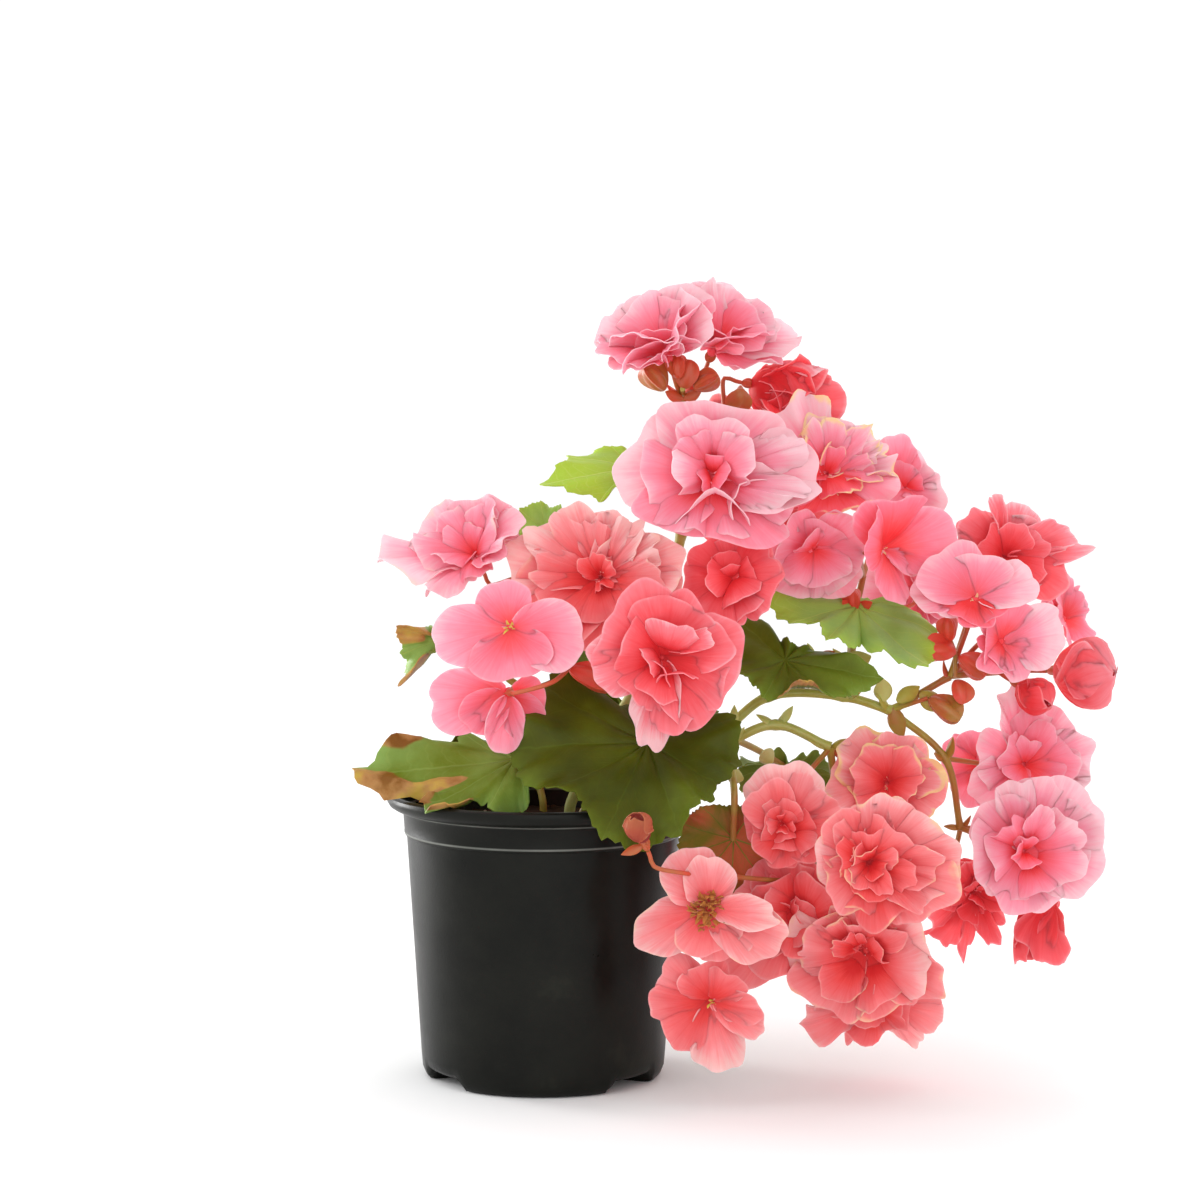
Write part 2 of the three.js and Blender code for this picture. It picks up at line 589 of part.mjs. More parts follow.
// A stalk either roots in the soil, or starts at a joint of a stem and runs by the points given.
const LEAVES = {
  leaf_front: {
    at: [52, -53, 173], facing: [0, 45], droop: 2, root: [20, -18], by: [[34, -28, 150], [46, -42, 164]],
    outline: [
      [0, 8], [59, 29], [77, 45], [103, 48], [141, 49], [168, 72], [190, 70],
      [212, 56], [239, 70], [269, 66], [316, 65], [340, 30],
    ],
  },
  leaf_rim_left: {
    at: [-5, -14, 165], facing: [-23, 67], root: [-12, -10], by: [[-10, -10, 150]],
    outline: [[10, 8], [60, 14], [100, 24], [150, 32], [195, 63], [220, 66], [246, 96], [270, 62], [302, 34], [335, 12]],
  },
  leaf_curled_left: {
    at: [-54, 6, 222], facing: [-20, 10], on: ['stem_left', 'bend'],
    by: [[-14, 8, 196], [-38, 8, 214]],
    outline: [[0, 6], [90, 8], [150, 14], [185, 31], [215, 24], [270, 12]],
  },
  leaf_upper_left: {
    at: [47, 10, 303], facing: [-10, 58], on: ['stem_upright', 'shoulder'], by: [[62, 11, 296]],
    outline: [[60, 8], [100, 16], [170, 22], [225, 28], [262, 46], [290, 36], [330, 18]],
  },
  leaf_behind_left: {
    at: [2, 34, 270], facing: [-10, 30], on: ['stem_left', 'nape'], by: [[0, 6, 232], [-4, 20, 250]],
    outline: [[0, 20], [60, 24], [120, 20], [180, 8], [230, 26], [300, 24]],
  },
  leaf_dark_middle: {
    at: [120, -20, 210], facing: [5, 48], on: ['stem_right', 'bow'], by: [[116, -8, 200]],
    outline: [[0, 10], [60, 20], [105, 46], [128, 38], [180, 22], [240, 24], [285, 36], [305, 38]],
  },
  leaf_light_middle: {
    at: [156, -2, 238], facing: [10, 50], on: ['stem_right', 'spur'], by: [[155, -6, 220]],
    outline: [[0, 8], [40, 18], [85, 38], [118, 50], [140, 48], [170, 28], [205, 22], [240, 30], [275, 46], [310, 22]],
  },
  leaf_underside: {
    at: [94, -42, 125], facing: [175, 10], on: ['stem_low', 'over'], by: [[93, -34, 160], [94, -52, 148]],
    outline: [[0, 16], [60, 24], [110, 28], [160, 26], [200, 26], [250, 24], [300, 22]],
  },
  leaf_back_left: {
    at: [-20, 44, 157], facing: [205, 66], root: [0, 28], by: [[-4, 34, 144]],
    outline: [[0, 8], [50, 32], [90, 48], [140, 52], [180, 60], [220, 46], [270, 44], [320, 28]],
  },
  leaf_back_right: {
    at: [52, 56, 172], facing: [165, 50], root: [24, 28], by: [[38, 42, 152]],
    outline: [[0, 8], [50, 26], [90, 40], [140, 44], [180, 60], [220, 46], [270, 40], [320, 26]],
  },
  leaf_back_high: {
    at: [46, 46, 222], facing: [190, 35], on: ['stem_upright', 'knee'], by: [[49, 24, 206]],
    outline: [[0, 8], [50, 28], [90, 40], [140, 40], [180, 50], [220, 42], [270, 42], [320, 26]],
  },
  leaf_back_over: {
    at: [126, 50, 148], facing: [170, 50], on: ['stem_right', 'rise'], by: [[94, 16, 168], [110, 38, 158]],
    outline: [[0, 8], [50, 24], [90, 38], [140, 38], [180, 46], [220, 40], [270, 36], [320, 22]],
  },
};

// ---------- assembly ----------

const roots = Object.values(STEMS).map((stem) => stem.root);
for (const leaf of Object.values(LEAVES)) {
  if (leaf.root) {
    leaf.stalk = [...rooted(leaf.root), ...leaf.by];
    roots.push({ at: leaf.stalk[0], radius: PETIOLE_RADIUS });
  } else {
    const [stem, point] = leaf.on;
    const joint = STEMS[stem].points[point];
    const radius = STEMS[stem].joints[point];
    leaf.stalk = [seatBeside(joint, leaf.by[0], radius), ...leaf.by];
  }
}

addMesh('pot', makePot(), 'pot');
addMesh('soil', makeSoil(roots), 'soil');
for (const [name, stem] of Object.entries(STEMS)) addMesh(name, makeStem(stem), 'stem');
for (const [name, leaf] of Object.entries(LEAVES)) addMesh(name, makeLeaf(leaf), 'leaf');
for (const [name, bloom] of Object.entries(BLOOMS)) addMesh(name, makeBloom(bloom), bloom.look);

export default plant;
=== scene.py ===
# A begonia in full bloom in a plain black nursery pot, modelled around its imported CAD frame.
# Metres, +Z up. The origin is the middle of the pot's foot, on the surface it stands on.
# -Y is the front, and the plant leans out over the pot's right side, which is +X.
# Tables of shapes are in millimetres, and are divided by MM where they are used.
import math
import random

import bpy
import numpy as np
from mathutils import Matrix, Vector, noise


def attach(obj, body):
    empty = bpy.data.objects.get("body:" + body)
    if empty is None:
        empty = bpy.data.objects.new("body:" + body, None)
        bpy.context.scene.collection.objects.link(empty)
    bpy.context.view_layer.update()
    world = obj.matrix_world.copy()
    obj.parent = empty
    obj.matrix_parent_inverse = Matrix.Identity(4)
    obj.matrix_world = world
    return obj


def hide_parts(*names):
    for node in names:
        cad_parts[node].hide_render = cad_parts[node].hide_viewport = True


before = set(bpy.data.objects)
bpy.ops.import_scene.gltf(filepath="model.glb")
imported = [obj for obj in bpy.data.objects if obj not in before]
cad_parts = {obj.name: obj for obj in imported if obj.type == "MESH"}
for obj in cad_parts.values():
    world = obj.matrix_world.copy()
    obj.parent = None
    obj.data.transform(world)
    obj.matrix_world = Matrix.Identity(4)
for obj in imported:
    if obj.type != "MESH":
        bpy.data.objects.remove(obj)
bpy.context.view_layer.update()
MM = 1000


# ---------- the picture ----------
# The plant stands on a wide white floor, seen from a little above its middle through a
# long lens. A white surrounding lights it evenly, with four soft lamps round it.

CAMERA_AT = Vector((0.029, -1.70, 0.3772))
LOOKED_AT = Vector((0.029, 0.0, 0.2382))
LIT_AT = Vector((0.08, 0, 0.2))
FLOOR_SIZE = 30

scene = bpy.context.scene
scene.view_settings.view_transform = "Standard"


def hung(name, data, at, towards):
    """A camera or a lamp in its place, turned towards a point."""
    holder = bpy.data.objects.new(name, data)
    holder.location = at
    holder.rotation_euler = (towards - Vector(at)).to_track_quat("-Z", "Y").to_euler()
    scene.collection.objects.link(holder)
    return holder


lens = bpy.data.cameras.new("camera")
lens.lens = 103
lens.sensor_width = 36
scene.camera = hung("camera", lens, CAMERA_AT, LOOKED_AT)

world = bpy.data.worlds.new("white_surrounding")
world.use_nodes = True
world.node_tree.nodes["Background"].inputs["Color"].default_value = (1, 1, 1, 1)
world.node_tree.nodes["Background"].inputs["Strength"].default_value = 1.08
scene.world = world

for name, at, size, watts in (
    ("lamp_left", (-1.3, -1.0, 1.5), 1.2, 3.5),
    ("lamp_front", (0.2, -2.2, 0.6), 1.4, 7),
    ("lamp_edge", (-1.3, 0.75, 0.25), 0.5, 18),
    ("lamp_back", (0.9, 1.5, 1.3), 1.2, 5),
):
    light = bpy.data.lights.new(name, "AREA")
    light.size = size
    light.energy = watts
    hung(name, light, at, LIT_AT)


def paint(red, green, blue):
    """A colour as it is seen on a screen, as the linear values that a shader takes."""
    def linear(value):
        return value / 12.92 if value <= 0.04045 else ((value + 0.055) / 1.055) ** 2.4
    return (linear(red), linear(green), linear(blue), 1)


def put(node, inputs):
    """Gives a node's sockets a value each, or links them to the output of another node."""
    for key, value in inputs.items():
        socket = node.inputs[int(key[2:]) if key.startswith("in") else key.replace("_", " ")]
        if isinstance(value, bpy.types.NodeSocket):
            links.new(value, socket)
        else:
            socket.default_value = value


def finish(name, **sockets):
    """Starts a material with a Principled shader. The helpers below add to the newest one."""
    global nodes, links
    material = bpy.data.materials.new(name)
    material.use_nodes = True
    nodes, links = material.node_tree.nodes, material.node_tree.links
    connect(**sockets)
    return material


def connect(**sockets):
    """Gives the shader's sockets a value or a link each."""
    put(nodes["Principled BSDF"], sockets)


def add(kind, settings=None, **inputs):
    """Adds a node and returns its outputs."""
    node = nodes.new("ShaderNode" + kind)
    for name, value in (settings or {}).items():
        setattr(node, name, value)
    put(node, inputs)
    return node.outputs


def reckon(operation, *values, clamp=False):
    """A Math node on numbers or on the outputs of other nodes, and its result."""
    inputs = {f"in{i}": value for i, value in enumerate(values)}
    return add("Math", {"operation": operation, "use_clamp": clamp}, **inputs)[0]


def swing(value, amount):
    """How far a value is from a half, times an amount."""
    return reckon("MULTIPLY", reckon("SUBTRACT", value, 0.5), amount)


def mapped(value, low, high, start, end, easing="SMOOTHSTEP"):
    """A value taken from one range to another, and held at both ends."""
    settings = {"interpolation_type": easing}
    span = dict(From_Min=low, From_Max=high, To_Min=start, To_Max=end)
    return add("MapRange", settings, Value=value, **span)["Result"]


def cloudy(vector, scale, detail, roughness=0.5):
    """Soft random noise."""
    return add("TexNoise", Vector=vector, Scale=scale, Detail=detail, Roughness=roughness)["Fac"]


def tones():
    """The three values of a piece's tone attribute, as Red, Green and Blue."""
    return add("SeparateColor", Color=add("Attribute", {"attribute_name": "tone"})["Color"])


def ramp(factor, *stops, painted=True):
    """A colour ramp over (position, red, green, blue) stops, and its colour."""
    node = nodes.new("ShaderNodeValToRGB")
    put(node, {"Fac": factor})
    band = node.color_ramp
    while len(band.elements) < len(stops):
        band.elements.new(0.5)
    for element, (position, *colour) in zip(band.elements, stops):
        element.position = position
        element.color = paint(*colour) if painted else (*colour, 1)
    return node.outputs["Color"]


def blended(factor, first, second):
    """Two colours mixed by a factor."""
    return add("Mix", {"data_type": "RGBA"}, in0=factor, in6=first, in7=second)[2]


def raised(height, strength, depth):
    """Bump from a height, linked to the shader's normal."""
    connect(Normal=add("Bump", Height=height, Strength=strength, Distance=depth)["Normal"])


bpy.ops.mesh.primitive_plane_add(size=FLOOR_SIZE)
floor = bpy.context.object
floor.name = "floor"
floor.data.materials.append(finish("white_floor", Base_Color=(0.97, 0.97, 0.97, 1), Roughness=0.9))


# ---------- the pot ----------
# A nursery pot blown from thin black plastic: a rolled lip over a band, a tapering body,
# and a foot that is lifted at three drain openings. It stands on its flat floor.

POT_RINGS = [
    (54.9, 0), (57.7, 0.6), (59.2, 2.2), (60.5, 5.5), (61.1, 12), (64.4, 65), (68, 121.4), (68.8, 122),
    (69.2, 122.8), (69.3, 123.6), (69.2, 124.4), (69.8, 132.6), (70.3, 133.4), (71.2, 134.1), (72.5, 134.5),
    (74.3, 135.2), (76.5, 136.6), (77.7, 138.6), (78, 140.2), (77.6, 141.6), (76.4, 142.4), (74.8, 142.5),
    (73.8, 141.9), (73, 140.4), (71.6, 137.4), (68.6, 133.5), (67.6, 124), (65.6, 120), (58, 6),
    (56.2, 3.2), (54, 2.4),
]
POT_SIDES = 144
POT_SHIFT = 0.0006
DRAIN_ANGLES = (-57, 50, 167)
DRAIN_HALF_WIDTH = 0.0165
DRAIN_LIFT = 0.0055
DRAIN_TOP = 0.013
DRAIN_EASE = 0.0025
FOOT_FROM = 0.0520
# The heights of the two ledges that get a painted highlight line.
HIGHLIGHT_LEDGES = (0.1232, 0.1342)


def chosen(piece):
    """Makes a piece the only selected one and the active one."""
    bpy.ops.object.select_all(action="DESELECT")
    piece.select_set(True)
    bpy.context.view_layer.objects.active = piece


def turned(name, rings, sides):
    """A turned shape: an outline of (radius, height) from axis to axis, spun round it."""
    rings = [(0, rings[0][1]), *rings, (0, rings[-1][1])]
    outline = bpy.data.meshes.new(name)
    outline.from_pydata(
        [(radius / MM, 0, height / MM) for radius, height in rings],
        [(i, i + 1) for i in range(len(rings) - 1)], [],
    )
    piece = bpy.data.objects.new(name, outline)
    scene.collection.objects.link(piece)
    chosen(piece)
    bpy.ops.object.mode_set(mode="EDIT")
    bpy.ops.mesh.select_all(action="SELECT")
    bpy.ops.mesh.spin(steps=sides, angle=math.tau, center=(0, 0, 0), axis=(0, 0, 1))
    bpy.ops.mesh.select_all(action="SELECT")
    bpy.ops.mesh.remove_doubles(threshold=1e-6)
    bpy.ops.mesh.normals_make_consistent(inside=False)
    bpy.ops.object.mode_set(mode="OBJECT")
    return piece


pot = turned("nursery_pot", POT_RINGS, POT_SIDES)
for vertex in pot.data.vertices:
    x, y, z = vertex.co
    for angle in DRAIN_ANGLES:
        turn = math.radians(angle - 90)
        beside = abs(y * math.cos(turn) - x * math.sin(turn))
        facing = x * math.cos(turn) + y * math.sin(turn) > 0
        if z < DRAIN_TOP and math.hypot(x, y) > FOOT_FROM and facing and beside < DRAIN_HALF_WIDTH:
            edge = min(1, (DRAIN_HALF_WIDTH - beside) / DRAIN_EASE)
            vertex.co.z = max(z, DRAIN_LIFT * edge + 0.5 * z)
    vertex.co.x += POT_SHIFT
bpy.ops.object.shade_smooth_by_angle(angle=math.radians(40))

black_plastic = finish("black_plastic", Specular_IOR_Level=0.12)
place = add("TexCoord")["Object"]
smudges = cloudy(place, 28, 6, 0.6)
height = add("SeparateXYZ", Vector=place)["Z"]
# Painted highlight: thin light grey lines at the two ledge heights stand in for the gloss that the small
# ledges catch, broken up by the smudges.
ledge_highlight = 0.0
for ledge in HIGHLIGHT_LEDGES:
    off = reckon("ABSOLUTE", reckon("SUBTRACT", height, ledge))
    ledge_highlight = reckon("MAXIMUM", mapped(off, 0.0002, 0.0007, 0.8, 0.0, "LINEAR"), ledge_highlight)
plastic = ramp(
    smudges,
    (0.3, 0.0045, 0.0048, 0.0038), (0.6, 0.0085, 0.0088, 0.0066), (0.8, 0.019, 0.020, 0.014),
    painted=False,
)
ledge_highlight = reckon("MULTIPLY", ledge_highlight, smudges)
connect(
    Base_Color=blended(ledge_highlight, plastic, paint(0.62, 0.63, 0.60)),
    Roughness=ramp(smudges, (0.3, 0.26, 0.26, 0.26), (0.75, 0.46, 0.46, 0.46), painted=False),
)
rolled = add("Mapping", Vector=place, Scale=(18, 18, 260))["Vector"]
raised(reckon("ADD", cloudy(place, 900, 2), cloudy(rolled, 1, 3)), 0.25, 0.0002)
pot.data.materials.append(black_plastic)
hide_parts("pot")
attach(pot, "root")


# ---------- the compost ----------
# Loose dark potting compost fills the pot to a little below its lip. Crumbs, flakes of bark
# and a few white grains of perlite lie on it.

SOIL_RINGS = [
    (42, 2.8), (55, 9), (64.2, 117), (64.6, 123.5), (64, 125.2), (62, 125.6), (58, 126), (53, 126.3),
    (48, 126.6), (43, 127), (38, 127.3), (33, 127.6), (28, 127.9), (23, 128.1), (18, 128.3), (13, 128.4),
    (8, 128.5), (3.5, 128.5),
]
SOIL_SIDES = 90
SOIL_TOP_FROM = 0.12
SOIL_MIDDLE = 0.1285
SOIL_FALL = 0.0033
SOIL_RADIUS = 0.065
CRUMBS = 320
CRUMBS_WITHIN = 0.064
CRUMB_LIFT = 0.0004
PERLITE_SHARE = 0.07


def joined(name, parts):
    """Several objects made one, named, with its place in its mesh."""
    bpy.ops.object.select_all(action="DESELECT")
    for part in parts:
        part.select_set(True)
    bpy.context.view_layer.objects.active = parts[0]
    bpy.ops.object.join()
    whole = bpy.context.object
    whole.name = whole.data.name = name
    return whole


def copied(blank, points):
    """A copy of a blank with its own mesh, whose vertices are moved to the given points."""
    mesh = blank.data.copy()
    mesh.vertices.foreach_set("co", np.asarray(points, np.float32).ravel())
    mesh.update()
    copy = bpy.data.objects.new(blank.name, mesh)
    scene.collection.objects.link(copy)
    return copy


def corners(piece):
    """The vertices of a mesh as rows of x, y, z."""
    found = np.empty(len(piece.data.vertices) * 3, np.float32)
    piece.data.vertices.foreach_get("co", found)
    return found.reshape(-1, 3).astype(float)


def toned(piece, *values):
    """Gives every vertex up to three values, which the finishes read as a colour."""
    attributes = piece.data.attributes
    tone = attributes.get("tone") or attributes.new("tone", "FLOAT_COLOR", "POINT")
    rows = np.ones((len(piece.data.vertices), 4), np.float32)
    for channel, value in enumerate(values):
        rows[:, channel] = value
    tone.data.foreach_set("color", rows.ravel())


soil = turned("compost_bed", SOIL_RINGS, SOIL_SIDES)
for vertex in soil.data.vertices:
    if vertex.co.z > SOIL_TOP_FROM:
        vertex.co.z += noise.noise(vertex.co * 130) * 0.0016 + noise.noise(vertex.co * 420) * 0.0008
toned(soil, 0.2)
bpy.ops.mesh.primitive_ico_sphere_add(subdivisions=1, radius=1)
crumb = bpy.context.object
seeds = random.Random(4)
crumbs = []
for number in range(CRUMBS):
    turn, out = seeds.uniform(0, math.tau), CRUMBS_WITHIN * math.sqrt(seeds.random())
    size = seeds.uniform(0.0007, 0.0022)
    shape = np.array([size * seeds.uniform(0.7, 1.6), size, size * seeds.uniform(0.35, 0.8)])
    tilt = Matrix.Rotation(seeds.uniform(0, math.tau), 3, "Z")
    tilt = tilt @ Matrix.Rotation(seeds.uniform(-0.5, 0.5), 3, "X")
    points = corners(crumb) * np.random.default_rng(number).uniform(0.75, 1.2, (12, 1)) * shape
    top = SOIL_MIDDLE - SOIL_FALL * (out / SOIL_RADIUS) + CRUMB_LIFT
    points = points @ np.array(tilt).T + [out * math.cos(turn), out * math.sin(turn), top]
    crumbs.append(copied(crumb, points))
    toned(crumbs[-1], 0.95 if seeds.random() < PERLITE_SHARE else seeds.uniform(0.1, 0.7))
bpy.data.objects.remove(crumb)
soil = joined("compost_bed", [soil] + crumbs)
bpy.ops.object.shade_smooth_by_angle(angle=math.radians(50))

compost = finish("compost", Roughness=0.92, Specular_IOR_Level=0.25)
fibres = cloudy(add("TexCoord")["Object"], 420, 8, 0.7)
mould = ramp(fibres, (0.3, 0.09, 0.06, 0.04), (0.5, 0.19, 0.13, 0.09), (0.75, 0.34, 0.24, 0.16))
bark = ramp(
    tones()["Red"], (0.1, 0.16, 0.11, 0.08), (0.68, 0.42, 0.29, 0.18), (0.9, 0.88, 0.86, 0.80),
)
connect(Base_Color=blended(0.55, mould, bark))
raised(fibres, 0.8, 0.0008)
soil.data.materials.append(compost)
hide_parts("soil")
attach(soil, "root")


# ---------- the layout of the plant ----------
# Where each bloom, leaf and stem of the CAD frame is, in millimetres and degrees.
# A bloom has its throat, the way it faces (azimuth from the front, elevation) and its look. Then
# come its petals: (clockwise angle from the top as seen from the front, length, width, lift,
# depth of colour), and after these may come bend, crease, and how far beside and above the
# throat it sits. A closed bloom has the radius of its cup, and how far each petal closes stands
# for the lift. A heart that isn't listed petal by petal has its size and its crowd of petals, and
# centre says what fills the middle of a single bloom.
# ruffle, dry and glow are how much its edges wave, how far its rims are dry and how much deeper
# its colour is towards the throat.

